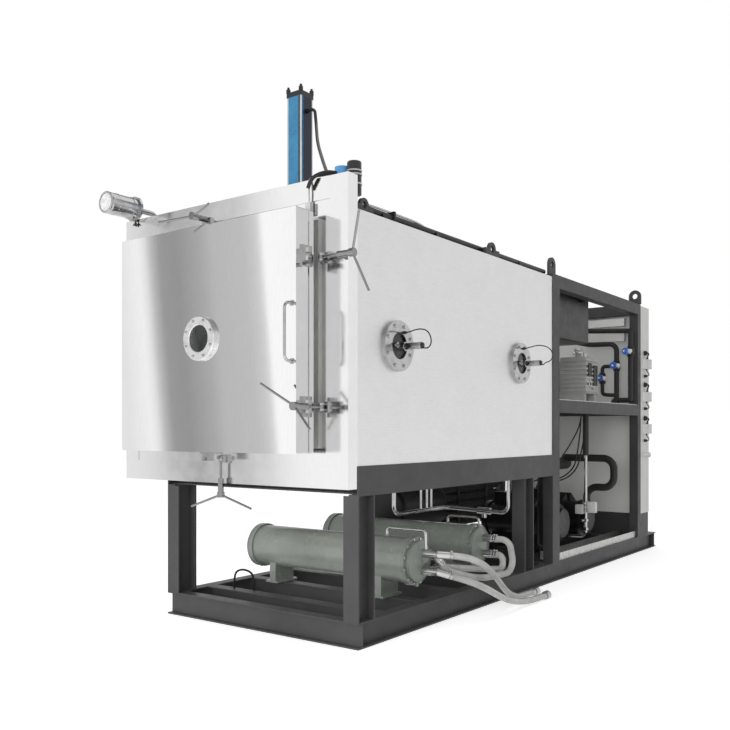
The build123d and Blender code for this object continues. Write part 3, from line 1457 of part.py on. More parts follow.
cabinet_door.part.label = "cabinet_door"
export_step(cabinet_door.part, "parts/cabinet_door.step")

tray_x = half_width - tray_inset - tray_width / 2
tray_wall = cabinet_wall
with BuildPart() as cable_tray:
    with BuildSketch(Plane.XZ.offset(-rail_back)):
        with Locations((tray_x, beam_height + tray_height / 2)):
            Rectangle(tray_width, tray_height)
            with Locations((0, tray_wall)):
                Rectangle(tray_width - 2 * tray_wall, tray_height, mode=Mode.SUBTRACT)
    extrude(amount=rail_back - rail_front - tray_inset)
cable_tray.part.label = "cable_tray"
export_step(cable_tray.part, "parts/cable_tray.step")

# ---- Cooling-water fittings and hoses -----------------------------------------------------------------
hoses = {
    "hose_supply": [
        supply_start, supply_first, (938, -1555, 383), (958, -1467, 341), (958, -1372, 286),
        (944, -1269, 226), (920, -1166, 170), (896, -1060, 116), (878, -950, 70), (866, -835, 38),
        (860, -717, 28.6), (861, -610, 28.6),
    ],
    "hose_return": [
        return_start, return_first, (951, -1574, 247), (979, -1487, 207), (990, -1388, 161),
        (991, -1287, 118), (984, -1182, 84), (978, -1075, 59), (975, -967, 41), (974, -867, 31),
        (975, -777, 28.6), (977, -690, 28.6),
    ],
}
hose_ends = {}
for name, points in hoses.items():
    radii = route_radii(points)
    print(name, "bend radii", [round(radius) for radius in radii])
    with BuildPart() as hose:
        with BuildLine() as hose_line:
            FilletPolyline(*points, radius=radii)
        start_direction = (Vector(*points[1]) - Vector(*points[0])).normalized()
        with BuildSketch(Plane(origin=points[0], z_dir=start_direction)):
            Circle(hose_diameter / 2)
        sweep(path=hose_line.line)
    hose.part.label = name
    export_step(hose.part, f"parts/{name}.step")
    length = sum(edge.length for edge in hose_line.edges())
    section = hose.part.volume / length
    print(name, "length", round(length), "section", round(section), "of", round(3.1416 * hose_diameter**2 / 4))
    hose_ends[name] = (Vector(*points[-1]), (Vector(*points[-1]) - Vector(*points[-2])).normalized())

for name, (end, direction) in hose_ends.items():
    coupling_name = name.replace("hose", "coupling")
    with BuildPart() as coupling:
        rod(end, end + direction * coupling_length, coupling_diameter - 12)
        rod(end + direction * coupling_length / 2, end + direction * coupling_length, coupling_diameter)
    coupling.part.label = coupling_name
    export_step(coupling.part, f"parts/{coupling_name}.step")

# Hoses held at both ends: the bridge between the upper ports and the link between the lower ones
held_hoses = {
    "hose_bridge": [
        (b_right + short_tail, b_y, port_high), (842, b_y, port_high), (846, -838, 206), (806, -1230, 204),
        bridge_start + bridge_direction * 130, bridge_start,
    ],
    "hose_link": [
        (b_right + short_tail, b_y, port_low), (790, b_y, port_low), (792, -896, 224), (738, -1220, 262),
        link_start + link_direction * 130, link_start,
    ],
}
for name, points in held_hoses.items():
    with BuildPart() as hose:
        with BuildLine() as hose_line:
            FilletPolyline(*points, radius=route_radii(points))
        start_direction = (Vector(*points[1]) - Vector(*points[0])).normalized()
        with BuildSketch(Plane(origin=points[0], z_dir=start_direction)):
            Circle(hose_diameter / 2)
        sweep(path=hose_line.line)
    hose.part.label = name
    export_step(hose.part, f"parts/{name}.step")
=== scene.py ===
import math

import bmesh
import bpy
from mathutils import Matrix, Vector


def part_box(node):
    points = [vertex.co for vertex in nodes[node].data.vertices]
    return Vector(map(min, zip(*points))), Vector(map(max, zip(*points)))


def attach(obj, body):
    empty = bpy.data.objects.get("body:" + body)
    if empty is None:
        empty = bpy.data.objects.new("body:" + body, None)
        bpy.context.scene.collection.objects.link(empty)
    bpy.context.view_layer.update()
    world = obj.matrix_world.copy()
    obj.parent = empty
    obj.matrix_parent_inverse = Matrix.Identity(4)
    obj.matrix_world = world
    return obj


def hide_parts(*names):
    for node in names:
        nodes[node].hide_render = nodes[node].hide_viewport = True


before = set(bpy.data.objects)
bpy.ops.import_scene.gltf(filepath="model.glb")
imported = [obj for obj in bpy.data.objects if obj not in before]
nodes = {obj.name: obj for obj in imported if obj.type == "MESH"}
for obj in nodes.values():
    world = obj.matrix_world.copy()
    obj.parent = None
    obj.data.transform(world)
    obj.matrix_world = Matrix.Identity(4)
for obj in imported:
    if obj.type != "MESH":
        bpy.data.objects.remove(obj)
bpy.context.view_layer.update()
scene = bpy.context.scene
scene.view_settings.view_transform = "Standard"

# Directions: the machine's door looks along -Y
RIGHT, LEFT, BACK, FRONT, UP, DOWN = (1, 0, 0), (-1, 0, 0), (0, 1, 0), (0, -1, 0), (0, 0, 1), (0, 0, -1)

# Places that several pieces share, in metres
CHAMBER_X = -0.155
CHAMBER_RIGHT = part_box("insulated_casing")[1].x
DOOR_Z = 1.6675
DOOR_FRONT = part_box("door_leaf")[0].y
FRAME_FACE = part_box("front_frame")[0].y
PORT_Z = 1.622
# Each condenser's y, left end and right end, front one first, and the y between the two
CONDENSERS = ((-1.740, -0.660, 0.700), (-0.900, -0.690, 0.650))
CONDENSER_Z = 0.370
BETWEEN_CONDENSERS = -1.4
CONDENSER_TOP = 0.516

# ---- Camera --------------------------------------------------------------------------------------------
camera_data = bpy.data.cameras.new("camera")
camera_data.sensor_width = 36.0
camera_data.lens = 41.47
camera_data.shift_y = 0.0877
camera_data.clip_end = 200.0
camera = bpy.data.objects.new("camera", camera_data)
camera.location = (3.394, -5.966, 1.160)
camera.rotation_euler = (math.radians(90), 0, math.radians(36.49))
scene.collection.objects.link(camera)
scene.camera = camera

# ---- Materials -----------------------------------------------------------------------------------------
looks = {}


def srgb(red, green, blue):
    """A colour from display values, as a linear RGBA."""
    return tuple(((c + 0.055) / 1.055) ** 2.4 if c > 0.04045 else c / 12.92
                 for c in (red, green, blue)) + (1.0,)


def grey(value):
    return srgb(value, value, value)


def toned(color, share):
    """The colour made darker or lighter."""
    return tuple(min(1.0, c * share) for c in color[:3]) + (1.0,)


class Nodes:
    """Helpers for the few nodes that the looks and the sky are made of."""

    def __init__(self, tree):
        self.tree = tree

    def plug(self, value, socket):
        """Links an output to the socket, or sets a plain value there."""
        if hasattr(value, "is_output"):
            self.tree.links.new(value, socket)
        else:
            socket.default_value = value

    def node(self, kind, inputs=(), **settings):
        made = self.tree.nodes.new(kind)
        for name, value in settings.items():
            setattr(made, name, value)
        for socket, value in dict(inputs).items():
            self.plug(value, made.inputs[socket])
        return made

    def spread(self, value, low, high, start=0.3, end=0.7):
        """The value's range from start to end, spread from low to high."""
        return self.node("ShaderNodeMapRange", {
            "Value": value, "From Min": start, "From Max": end, "To Min": low, "To Max": high}).outputs[0]

    def math(self, kind, *values):
        return self.node("ShaderNodeMath", dict(enumerate(values)), operation=kind).outputs[0]

    def blend(self, share, first, second):
        """The first colour where share is 0, and the second where it is 1."""
        return self.node("ShaderNodeMix", {0: share, 6: first, 7: second}, data_type="RGBA").outputs[2]


class Look(Nodes):
    """A material, which set() files in looks under its name."""

    def __init__(self, name):
        self.name = name
        self.material = bpy.data.materials.new(name)
        self.material.use_nodes = True
        super().__init__(self.material.node_tree)
        self.shader = self.tree.nodes["Principled BSDF"]
        self.where = self.node("ShaderNodeTexCoord").outputs["Object"]

    def noise(self, scale, detail=3.0, stretch=(1, 1, 1), rough=0.5):
        place = self.node("ShaderNodeMapping", {"Vector": self.where, "Scale": stretch}).outputs[0]
        return self.node("ShaderNodeTexNoise", {
            "Vector": place, "Scale": scale, "Detail": detail, "Roughness": rough}).outputs["Fac"]

    def tones(self, noise, dark, light):
        return self.blend(self.spread(noise, 0.0, 1.0), dark, light)

    def axis(self, name):
        return self.node("ShaderNodeSeparateXYZ", {"Vector": self.where}).outputs[name]

    def beyond(self, name, limit):
        """1 where the coordinate is past the limit."""
        return self.math("GREATER_THAN", self.axis(name), limit)

    def facing(self, name):
        """How far the surface looks along an axis."""
        normal = self.node("ShaderNodeNewGeometry").outputs["Normal"]
        return self.node("ShaderNodeSeparateXYZ", {"Vector": normal}).outputs[name]

    def bump(self, height, strength, distance, under=None):
        made = self.node("ShaderNodeBump", {"Height": height, "Strength": strength, "Distance": distance})
        if under is not None:
            self.plug(under, made.inputs["Normal"])
        return made.outputs[0]

    def set(self, **sockets):
        for name, value in sockets.items():
            self.plug(value, self.shader.inputs[name.replace("_", " ")])
        looks[self.name] = self.material
        return self.material


GRAIN_SHADE = srgb(0.5, 0.5, 0.51)
JOINT_FILLER = srgb(0.93, 0.93, 0.92)
TARNISH = srgb(0.55, 0.54, 0.53)
DUST = srgb(0.62, 0.61, 0.59)
BARE_STEEL = srgb(0.45, 0.44, 0.43)


def sheet_steel(name, color, rough, grain=(1, 1, 0.02), dent=0.0016, cloud=0.05, brushed=0.06,
                filler_from=None):
    """Stainless sheet: fine drawn grain, slow waves that bend its reflections, and faint handling marks.

    filler_from is the axis and the coordinate past which pale joint filler covers the metal.
    """
    look = Look(name)
    lines = look.noise(900.0, 2.0, grain)
    waves = look.noise(1.6, 2.0)
    marks = look.noise(7.0, 6.0, rough=0.65)
    tone = look.tones(marks, toned(color, 1 - cloud), color)
    tone = look.blend(look.spread(lines, 0.0, 0.10), tone, GRAIN_SHADE)
    metal = 1.0
    if filler_from is not None:
        filled = look.beyond(*filler_from)
        tone = look.blend(filled, tone, JOINT_FILLER)
        metal = look.math("SUBTRACT", 1.0, filled)
    return look.set(
        Base_Color=tone, Metallic=metal,
        Roughness=look.math("ADD", look.spread(marks, rough * 0.75, rough * 1.3),
                            look.spread(lines, 0.0, rough * 0.3)),
        Normal=look.bump(waves, 0.35, dent, look.bump(lines, brushed, 0.0004)))


def bright_steel(name, color, rough):
    """Turned or polished steel with fine machining rings and a little tarnish."""
    look = Look(name)
    rings = look.noise(500.0, 1.0)
    stain = look.noise(18.0, 5.0, rough=0.6)
    tone = look.blend(look.spread(stain, 0.0, 0.5, 0.45, 0.75), color, TARNISH)
    return look.set(Base_Color=tone, Metallic=1.0, Roughness=look.spread(stain, rough - 0.04, rough + 0.12),
                    Normal=look.bump(rings, 0.08, 0.0003))


def paint(name, color, rough, chip=0.76, dust=0.12, gloss=0.5, mottle=(0.80, 1.15)):
    """Sprayed paint: orange peel, slow tone changes, dust on upward faces and small chips."""
    look = Look(name)
    patch = look.noise(2.2, 4.0, rough=0.6)
    skin = look.noise(260.0, 2.0)
    grime = look.noise(11.0, 7.0, rough=0.7)
    tone = look.tones(patch, *(toned(color, share) for share in mottle))
    settled = look.math("MULTIPLY", look.spread(look.facing("Z"), 0.0, dust, 0.5, 1.0),
                        look.spread(grime, 0.3, 1.0))
    tone = look.blend(settled, tone, DUST)
    tone = look.blend(look.math("GREATER_THAN", grime, chip), tone, BARE_STEEL)
    return look.set(Base_Color=tone, Roughness=look.spread(grime, rough - 0.06, rough + 0.1),
                    Specular_IOR_Level=gloss, Normal=look.bump(skin, 0.10, 0.0006))


def moulded(name, dark, light, cloud, rough, skin=None, relief=None, rough_from_skin=False, **sockets):
    """Rubber, foam, plastic or glass with slow tones, and a fine skin where it has one.

    cloud and skin are what Look.noise takes, and relief is the strength and depth of the skin's bump.
    """
    look = Look(name)
    slow = fine = look.noise(**cloud)
    if skin is not None:
        fine = look.noise(**skin)
        sockets["Normal"] = look.bump(fine, *relief)
    return look.set(Base_Color=look.tones(slow, dark, light),
                    Roughness=look.spread(fine if rough_from_skin else slow, *rough), **sockets)


def two_finish(name, first, second, mask_of):
    """One node with two finishes: mask_of(look) is 1 where the second shows. Each is (color, metallic, rough)."""
    look = Look(name)
    mask = mask_of(look)
    patch = look.noise(9.0, 5.0, rough=0.6)
    colors, metals, roughs = zip(first, second)
    return look.set(
        Base_Color=look.blend(mask, *(look.tones(patch, toned(color, 0.82), color) for color in colors)),
        Metallic=look.spread(mask, *metals, 0.0, 1.0),
        Roughness=look.math("ADD", look.spread(mask, *roughs, 0.0, 1.0), look.spread(patch, -0.04, 0.06)),
        Normal=look.bump(look.noise(300.0, 2.0), 0.08, 0.0004))


DOOR_RIM_BACK = 0.1385
sheet_steel("door_sheet", grey(0.90), 0.025, dent=0.0003, cloud=0.03, brushed=0.003,
            filler_from=("Y", DOOR_FRONT + DOOR_RIM_BACK))
sheet_steel("frame_sheet", grey(0.91), 0.11, dent=0.0005, brushed=0.01)
sheet_steel("casing_sheet", srgb(0.88, 0.875, 0.875), 0.42, grain=(1, 0.02, 1), cloud=0.03)
sheet_steel("inner_sheet", grey(0.78), 0.3)
bright_steel("bright", grey(0.71), 0.12)
bright_steel("bolt", grey(0.72), 0.22)
bright_steel("clamp_steel", grey(0.56), 0.15)
bright_steel("ring_steel", grey(0.90), 0.24)
bright_steel("galvanised", srgb(0.72, 0.72, 0.71), 0.36)
paint("frame_paint", srgb(0.275, 0.27, 0.275), 0.45, gloss=0.25)
paint("rack_paint", srgb(0.255, 0.25, 0.255), 0.45, dust=0.08, gloss=0.25)
paint("green_paint", srgb(0.53, 0.555, 0.525), 0.22, chip=0.83)
paint("light_paint", srgb(0.84, 0.84, 0.83), 0.38, dust=0.05, chip=0.88, mottle=(0.96, 1.03))
paint("pump_paint", srgb(0.70, 0.70, 0.69), 0.42, dust=0.15, chip=0.8)
paint("black_paint", srgb(0.09, 0.09, 0.095), 0.35, dust=0.08, gloss=0.3)
paint("coil_paint", srgb(0.16, 0.40, 0.76), 0.3, chip=0.85, dust=0.02)
moulded("seal", srgb(0.90, 0.90, 0.89), srgb(0.96, 0.96, 0.95), {"scale": 5.0}, (0.5, 0.65),
        skin={"scale": 220.0}, relief=(0.15, 0.0005), rough_from_skin=True)
moulded("black_rubber", grey(0.06), grey(0.12), {"scale": 9.0}, (0.4, 0.6),
        skin={"scale": 300.0}, relief=(0.2, 0.0003), rough_from_skin=True)
moulded("lagging", grey(0.07), grey(0.15), {"scale": 6.0, "detail": 5.0, "rough": 0.6}, (0.55, 0.75),
        skin={"scale": 420.0, "detail": 2.0}, relief=(0.3, 0.0008))
moulded("clear_hose", srgb(0.70, 0.70, 0.69), srgb(0.88, 0.88, 0.87), {"scale": 6.0, "detail": 4.0}, (0.12, 0.26),
        skin={"scale": 160.0, "detail": 2.0}, relief=(0.25, 0.0006), Transmission_Weight=0.35, IOR=1.42)
moulded("lens", srgb(0.82, 0.83, 0.83), srgb(0.96, 0.96, 0.95), {"scale": 22.0, "detail": 4.0}, (0.12, 0.3),
        skin={"scale": 60.0, "detail": 4.0}, relief=(0.2, 0.0006), rough_from_skin=True,
        Transmission_Weight=0.25, IOR=1.46)
moulded("window", srgb(0.70, 0.73, 0.72), srgb(0.84, 0.86, 0.85),
        {"scale": 14.0, "detail": 5.0, "rough": 0.6}, (0.02, 0.07), Transmission_Weight=1.0, IOR=1.47)
# The door's thick pane is half mirror; its dark grey colour is painted shade for the dark chamber behind it
moulded("sight_glass", srgb(0.10, 0.11, 0.11), srgb(0.36, 0.37, 0.37),
        {"scale": 9.0, "detail": 5.0, "stretch": (1, 1, 0.35), "rough": 0.6}, (0.03, 0.10),
        Transmission_Weight=0.4, IOR=1.45)

# The cylinder's head and tie rods are bright up to the barrel's top and black above it
two_finish("head_and_rods", (grey(0.83), 1.0, 0.18), (srgb(0.10, 0.10, 0.11), 0.0, 0.38),
           lambda look: look.beyond("Z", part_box("ram_barrel")[1].z))


def bare_fittings(look):
    """The bright stubs on the condensers: past the covers' right ends, and above the shells."""
    past_front, past_rear = (look.beyond("X", right_end + 0.0002) for _, _, right_end in CONDENSERS)
    beside_rear = look.math("MULTIPLY", past_rear, look.beyond("Y", BETWEEN_CONDENSERS))
    return look.math("MAXIMUM", look.beyond("Z", CONDENSER_TOP), look.math("MAXIMUM", past_front, beside_rear))


two_finish("cover_and_fittings", (srgb(0.52, 0.545, 0.515), 0.0, 0.24), (srgb(0.80, 0.80, 0.79), 1.0, 0.25),
           bare_fittings)


def make_ram_paint():
    """Blue front and navy side faces (painted shade), with bright strips between black lines of painted shadow."""
    look = Look("ram_paint")
    patch = look.noise(6.0, 5.0, rough=0.65)
    front = look.tones(patch, srgb(0.16, 0.40, 0.54), srgb(0.24, 0.50, 0.65))
    side = look.tones(patch, srgb(0.08, 0.10, 0.17), srgb(0.12, 0.15, 0.23))
    # Faces looking along +X take the navy tones: painted shade for the barrel's shaded side
    tone = look.blend(look.math("GREATER_THAN", look.facing("X"), 0.6), front, side)
    low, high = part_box("ram_barrel")
    middle = (low + high) / 2
    aside, ahead = (look.math("ABSOLUTE", look.math("SUBTRACT", look.axis(name), place))
                    for name, place in (("X", middle.x), ("Y", middle.y)))
    # The thin black lines between the blue faces and the bright strips are painted shadow of the gaps beside the tie
    # rods
    gap_shade_start, strip_start = 0.0465, 0.0490
    gap_shade, strip = (look.math("GREATER_THAN", look.math("MINIMUM", aside, ahead), start)
                     for start in (gap_shade_start, strip_start))
    tone = look.blend(strip, look.blend(gap_shade, tone, srgb(0.05, 0.05, 0.06)), grey(0.74))
    look.set(Base_Color=tone, Metallic=strip, Roughness=look.spread(patch, 0.22, 0.36), Specular_IOR_Level=0.3,
             Normal=look.bump(look.noise(240.0, 2.0), 0.1, 0.0006))


def make_valve_bodies():
    """Black valves and hose, the blue coil dome, and the pale door sensor with its lead on the frame's face."""
    look = Look("valve_bodies")
    patch = look.noise(9.0, 5.0, rough=0.6)
    black = look.tones(patch, srgb(0.06, 0.06, 0.065), srgb(0.12, 0.12, 0.125))
    blue = look.tones(patch, srgb(0.22, 0.46, 0.66), srgb(0.33, 0.58, 0.76))
    pale = look.tones(patch, grey(0.60), srgb(0.76, 0.76, 0.75))
    dome_left, dome_right, dome_foot = 0.556, 0.6458, 2.4425
    dome = look.math("MULTIPLY",
                     look.math("MULTIPLY", look.beyond("X", dome_left), look.beyond("Z", dome_foot)),
                     look.math("LESS_THAN", look.axis("X"), dome_right))
    sensor = look.math("LESS_THAN", look.axis("Y"), FRAME_FACE)
    look.set(Base_Color=look.blend(sensor, look.blend(dome, black, blue), pale),
             Roughness=look.spread(patch, 0.28, 0.45), Normal=look.bump(look.noise(300.0, 2.0), 0.1, 0.0004))


def make_tray_sheet():
    """Galvanised tray sheet with its rows of punched slots, filled with dark grey as painted shade in place of holes.
    """
    look = Look("tray_sheet")
    slots_per_metre = (38.0, 50.0, 0.01)
    grid = look.node("ShaderNodeMapping", {"Vector": look.where, "Scale": slots_per_metre}).outputs[0]
    cells = look.node("ShaderNodeTexVoronoi", {"Vector": grid, "Scale": 1.0, "Randomness": 0.0}).outputs["Distance"]
    # The slots are painted dark grey: painted shade where real holes would show the dark behind the sheet
    slot_shade = look.math("LESS_THAN", cells, 0.26)
    spangle = look.noise(30.0, 6.0, rough=0.7)
    sheet = look.tones(spangle, srgb(0.60, 0.60, 0.59), srgb(0.82, 0.82, 0.81))
    look.set(Base_Color=look.blend(slot_shade, sheet, grey(0.10)), Metallic=look.math("SUBTRACT", 0.9, slot_shade),
             Roughness=look.spread(spangle, 0.3, 0.5), Normal=look.bump(slot_shade, 0.5, -0.002))


make_ram_paint()
make_valve_bodies()
make_tray_sheet()

worn_by = {
    "door_sheet": "door_leaf",
    "frame_sheet": "front_frame",
    "casing_sheet": "insulated_casing",
    "inner_sheet": "vessel shelf_fixed shelf_1 shelf_2 shelf_3 pressure_plate "
                   "isolation_valve valve_cylinder ice_coil",
    "bright": "frame_brackets door_brackets port_flanges lamp_housing guide_rods "
              "door_handle pivot_pins port_lamps coolant_pipes",
    "clamp_steel": "swing_bolt_right_low swing_bolt_right_high swing_bolt_bottom swing_bolt_top "
                   "clamp_nut_right_low clamp_nut_right_high clamp_nut_bottom clamp_nut_top",
    "ring_steel": "sight_glass_ring",
    "frame_paint": "skid_side_beams skid_cross_beams chamber_supports chamber_bearers",
    "rack_paint": "rack_posts rack_rails lifting_lugs",
    "green_paint": "condenser_shells",
    "light_paint": "cabinet_shell cabinet_door",
    "pump_paint": "vacuum_pump",
    "black_paint": "compressors oil_separator top_pipes",
    "valve_bodies": "hydraulic_lines",
    "lagging": "refrigerant_lines",
    "ram_paint": "ram_barrel",
    "galvanised": "pump_deck coupling_supply coupling_return",
    "tray_sheet": "cable_tray",
    "head_and_rods": "ram_head_and_tie_rods",
    "cover_and_fittings": "condenser_covers",
    "seal": "door_gasket",
    "window": "port_glasses",
    "sight_glass": "sight_glass",
    "clear_hose": "hose_bridge hose_link hose_supply hose_return",
}
for look_name, members in worn_by.items():
    for member in members.split():
        nodes[member].data.materials.clear()
        nodes[member].data.materials.append(looks[look_name])


# ---- Shared makers -------------------------------------------------------------------------------------
SHARP_ANGLE = math.radians(35)


def finish_piece(builder, name, look, body):
    """Turns a bmesh into a piece that rides a body."""
    mesh = bpy.data.meshes.new(name)
    bmesh.ops.recalc_face_normals(builder, faces=builder.faces)
    builder.to_mesh(mesh)
    builder.free()
    for face in mesh.polygons:
        face.use_smooth = True
    mesh.set_sharp_from_angle(angle=SHARP_ANGLE)
    made = bpy.data.objects.new(name, mesh)
    made.data.materials.append(looks[look])
    scene.collection.objects.link(made)
    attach(made, body)


def towards(place, direction):
    """The matrix that stands a piece built along +Z at place, with its axis along direction."""
    axis = Vector(direction).normalized()
    return Matrix.Translation(place) @ axis.to_track_quat("Z", "Y").to_matrix().to_4x4()


def add_rings(builder, profile, matrix, sides, closed=False):
    """Rings of corners at each (radius, height) along the matrix's own Z, joined one to the next."""
    steps = [2 * math.pi * k / sides for k in range(sides)]
    rings = [[builder.verts.new(matrix @ Vector((radius * math.cos(step), radius * math.sin(step), height)))
              for step in steps] for radius, height in profile]
    for low, high in zip(rings, rings[1:] + (rings[:1] if closed else [])):
        for k in range(sides):
            builder.faces.new((low[k], low[(k + 1) % sides], high[(k + 1) % sides], high[k]))
    return rings


def add_lathe(builder, profile, matrix, sides):
    """A turned form: profile is a list of (radius, height) along the matrix's own Z."""
    rings = add_rings(builder, profile, matrix, sides)
    builder.faces.new(list(reversed(rings[0])))
    builder.faces.new(rings[-1])


def add_bolt(builder, place, direction, size, washer=True):
    """A hexagon head on a washer, seated on a face at place. size is half the head's width."""
    matrix = towards(place, direction)
    if washer:
        add_lathe(builder, [(size * 1.15, -0.0005), (size * 1.15, size * 0.14), (size * 1.05, size * 0.2)],
                  matrix, 20)
    low = size * 0.18 if washer else -0.0005
    add_lathe(builder, [(size * 0.92, low), (size * 0.92, size * 0.72), (size * 0.8, size * 0.82)],
              matrix @ Matrix.Rotation(math.radians(15), 4, "Z"), 6)


def add_band(builder, place, direction, inner, outer, width, sides=32):
    """A flat band round an axis, its middle at place and its edges broken."""
    edge, half = min(width, outer - inner) * 0.25, width / 2
    add_rings(builder, (
        (inner, -half), (outer - edge, -half), (outer, edge - half), (outer, half - edge),
        (outer - edge, half), (inner, half)), towards(place, direction), sides, closed=True)


def add_block(builder, centre, size, edge, turn=None):
    """A box with rounded edges."""
    matrix = Matrix.Translation(centre) @ (turn or Matrix.Identity(4)) @ Matrix.Diagonal((*size, 1.0))
    made = bmesh.ops.create_cube(builder, size=1.0, matrix=matrix)
    edges = list({line for corner in made["verts"] for line in corner.link_edges})
    bmesh.ops.bevel(builder, geom=edges, offset=edge, segments=2, affect="EDGES", profile=0.5)


def circle_places(centre, radius, count, across, along):
    """Points spaced round a circle in the plane of two directions, the first half a step from across."""
    centre, across, along = Vector(centre), Vector(across), Vector(along)
    for k in range(count):
        angle = 2 * math.pi * (k + 0.5) / count
        yield centre + across * radius * math.cos(angle) + along * radius * math.sin(angle)


def tube(name, points, diameter, look, body):
    """A round tube along a smooth line through the middle of its control points."""
    curve = bpy.data.curves.new(name, "CURVE")
    curve.dimensions = "3D"
    curve.bevel_depth = diameter / 2
    curve.bevel_resolution = 5
    curve.resolution_u = 10
    curve.use_fill_caps = True
    spline = curve.splines.new("NURBS")
    spline.points.add(len(points) - 1)
    for control, point in zip(spline.points, points):
        control.co = (*point, 1.0)
    spline.order_u = 3
    spline.use_endpoint_u = True
    made = bpy.data.objects.new(name, curve)
    curve.materials.append(looks[look])
    scene.collection.objects.link(made)
    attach(made, body)
    return made


# ---- Cooling-water hoses that lie over the skid's side --------------------------------------------------
def metres(points):
    return [Vector(point) / 1000 for point in points]


# In millimetres: each hose starts this far from its elbow, on the line to its first point
HOSE_SEAT = 68.0
supply_elbow, supply_first = Vector((800, -1740, 422)), Vector((898, -1631, 407))
return_elbow, return_first = Vector((800, -1740, 318)), Vector((906, -1646, 278))
supply_start = supply_elbow + (supply_first - supply_elbow).normalized() * HOSE_SEAT
return_start = return_elbow + (return_first - return_elbow).normalized() * HOSE_SEAT
supply_points = metres([
    supply_start, supply_first, (938, -1555, 383), (958, -1467, 341), (958, -1372, 286),
    (944, -1269, 226), (920, -1166, 170), (896, -1060, 116), (878, -950, 70), (866, -835, 38),
    (860, -717, 28.6), (861, -610, 28.6)])
return_points = metres([
    return_start, return_first, (951, -1574, 247), (979, -1487, 207), (990, -1388, 161),
    (991, -1287, 118), (984, -1182, 84), (978, -1075, 59), (975, -967, 41), (974, -867, 31),
    (975, -777, 28.6), (977, -690, 28.6)])
supply_hose = tube("supply_hose", supply_points, 0.042, "clear_hose", "root")
return_hose = tube("return_hose", return_points, 0.042, "clear_hose", "root")
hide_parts("hose_supply")
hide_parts("hose_return")

# ---- Screws of the door and the sight glass, and bolts of the ports and the condensers -------------------
SIGHT_BOLT_CIRCLE, PORT_BOLT_CIRCLE, COVER_BOLT_CIRCLE = 0.106, 0.118, 0.1335
PORT_FROM_END = 0.1425
builder = bmesh.new()
for spot in circle_places((CHAMBER_X, DOOR_FRONT - 0.025, DOOR_Z), SIGHT_BOLT_CIRCLE, 8, RIGHT, UP):
    add_bolt(builder, spot, FRONT, 0.0075)
finish_piece(builder, "sight_glass_screws", "bolt", "door")

builder = bmesh.new()
flange_low, flange_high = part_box("port_flanges")
for port_y in (flange_low.y + PORT_FROM_END, flange_high.y - PORT_FROM_END):
    for spot in circle_places((CHAMBER_RIGHT + 0.025, port_y, PORT_Z), PORT_BOLT_CIRCLE, 8, BACK, UP):
        add_bolt(builder, spot, RIGHT, 0.0115)
finish_piece(builder, "port_bolts", "bolt", "root")

builder = bmesh.new()
bracket_y, hinge_y = DOOR_FRONT + 0.077, DOOR_FRONT + 0.038
for offset in (-0.044, 0.044):
    for height in (1.2755, 2.0595):
        add_bolt(builder, (0.560, bracket_y, height + offset), RIGHT, 0.0065)
        add_bolt(builder, (-0.872, hinge_y, height + offset), LEFT, 0.009)
    add_bolt(builder, (CHAMBER_X + offset, bracket_y, 2.3145), UP, 0.0065)
    add_bolt(builder, (CHAMBER_X + offset, bracket_y, 1.0205), DOWN, 0.0065)
finish_piece(builder, "door_bracket_screws", "bolt", "door")

FLANGE_FROM_END = 0.048
builder = bmesh.new()
for y, left_end, right_end in CONDENSERS:
    for x, out in ((left_end + FLANGE_FROM_END, LEFT), (right_end - FLANGE_FROM_END, RIGHT)):
        for spot in circle_places((x, y, CONDENSER_Z), COVER_BOLT_CIRCLE, 12, BACK, UP):
            add_bolt(builder, spot, out, 0.0088)
finish_piece(builder, "condenser_bolts", "bolt", "root")

# ---- Inspection lamp beside the door: its glass, rings and wing nut ---------------------------------------
LAMP = Vector((-0.960, -2.755, 2.555))
builder = bmesh.new()
add_lathe(builder, [(0.056, -0.0005), (0.056, 0.003), (0.050, 0.008), (0.034, 0.013), (0.014, 0.016)],
          towards(LAMP, FRONT), 40)
finish_piece(builder, "lamp_lens", "lens", "root")
builder = bmesh.new()
for behind, inner, outer, width in ((-0.002, 0.055, 0.0672, 0.010), (0.060, 0.066, 0.0680, 0.008),
                                    (0.172, 0.066, 0.0695, 0.012)):
    add_band(builder, LAMP + Vector((0, behind, 0)), FRONT, inner, outer, width, 48)
for spot in circle_places(LAMP + Vector((0, 0.204, 0)), 0.0732, 6, RIGHT, UP):
    add_bolt(builder, spot, FRONT, 0.0042)
finish_piece(builder, "lamp_rings", "bright", "root")
builder = bmesh.new()
wing = LAMP + Vector((0.012, 0.212, -0.078))
add_lathe(builder, [(0.004, 0.0), (0.004, 0.030), (0.003, 0.032)], towards(wing, DOWN), 12)
add_lathe(builder, [(0.007, 0.0), (0.009, 0.003), (0.008, 0.010), (0.006, 0.012)],
          towards(wing + Vector((0, 0, -0.010)), DOWN), 16)
flattened = Matrix.Diagonal((1, 0.4, 1, 1))
for side in (-1, 1):
    add_lathe(builder, [(0.003, 0.0), (0.0055, 0.006), (0.0075, 0.013), (0.006, 0.020), (0.002, 0.023)],
              towards(wing + Vector((side * 0.004, 0, -0.014)), (side, 0, -0.55)) @ flattened, 16)
finish_piece(builder, "lamp_wing_nut", "black_paint", "root")

# ---- Leads of the side lamps ----------------------------------------------------------------------------
LAMP_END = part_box("port_lamps")[1].x
GLAND_FACE = 0.770
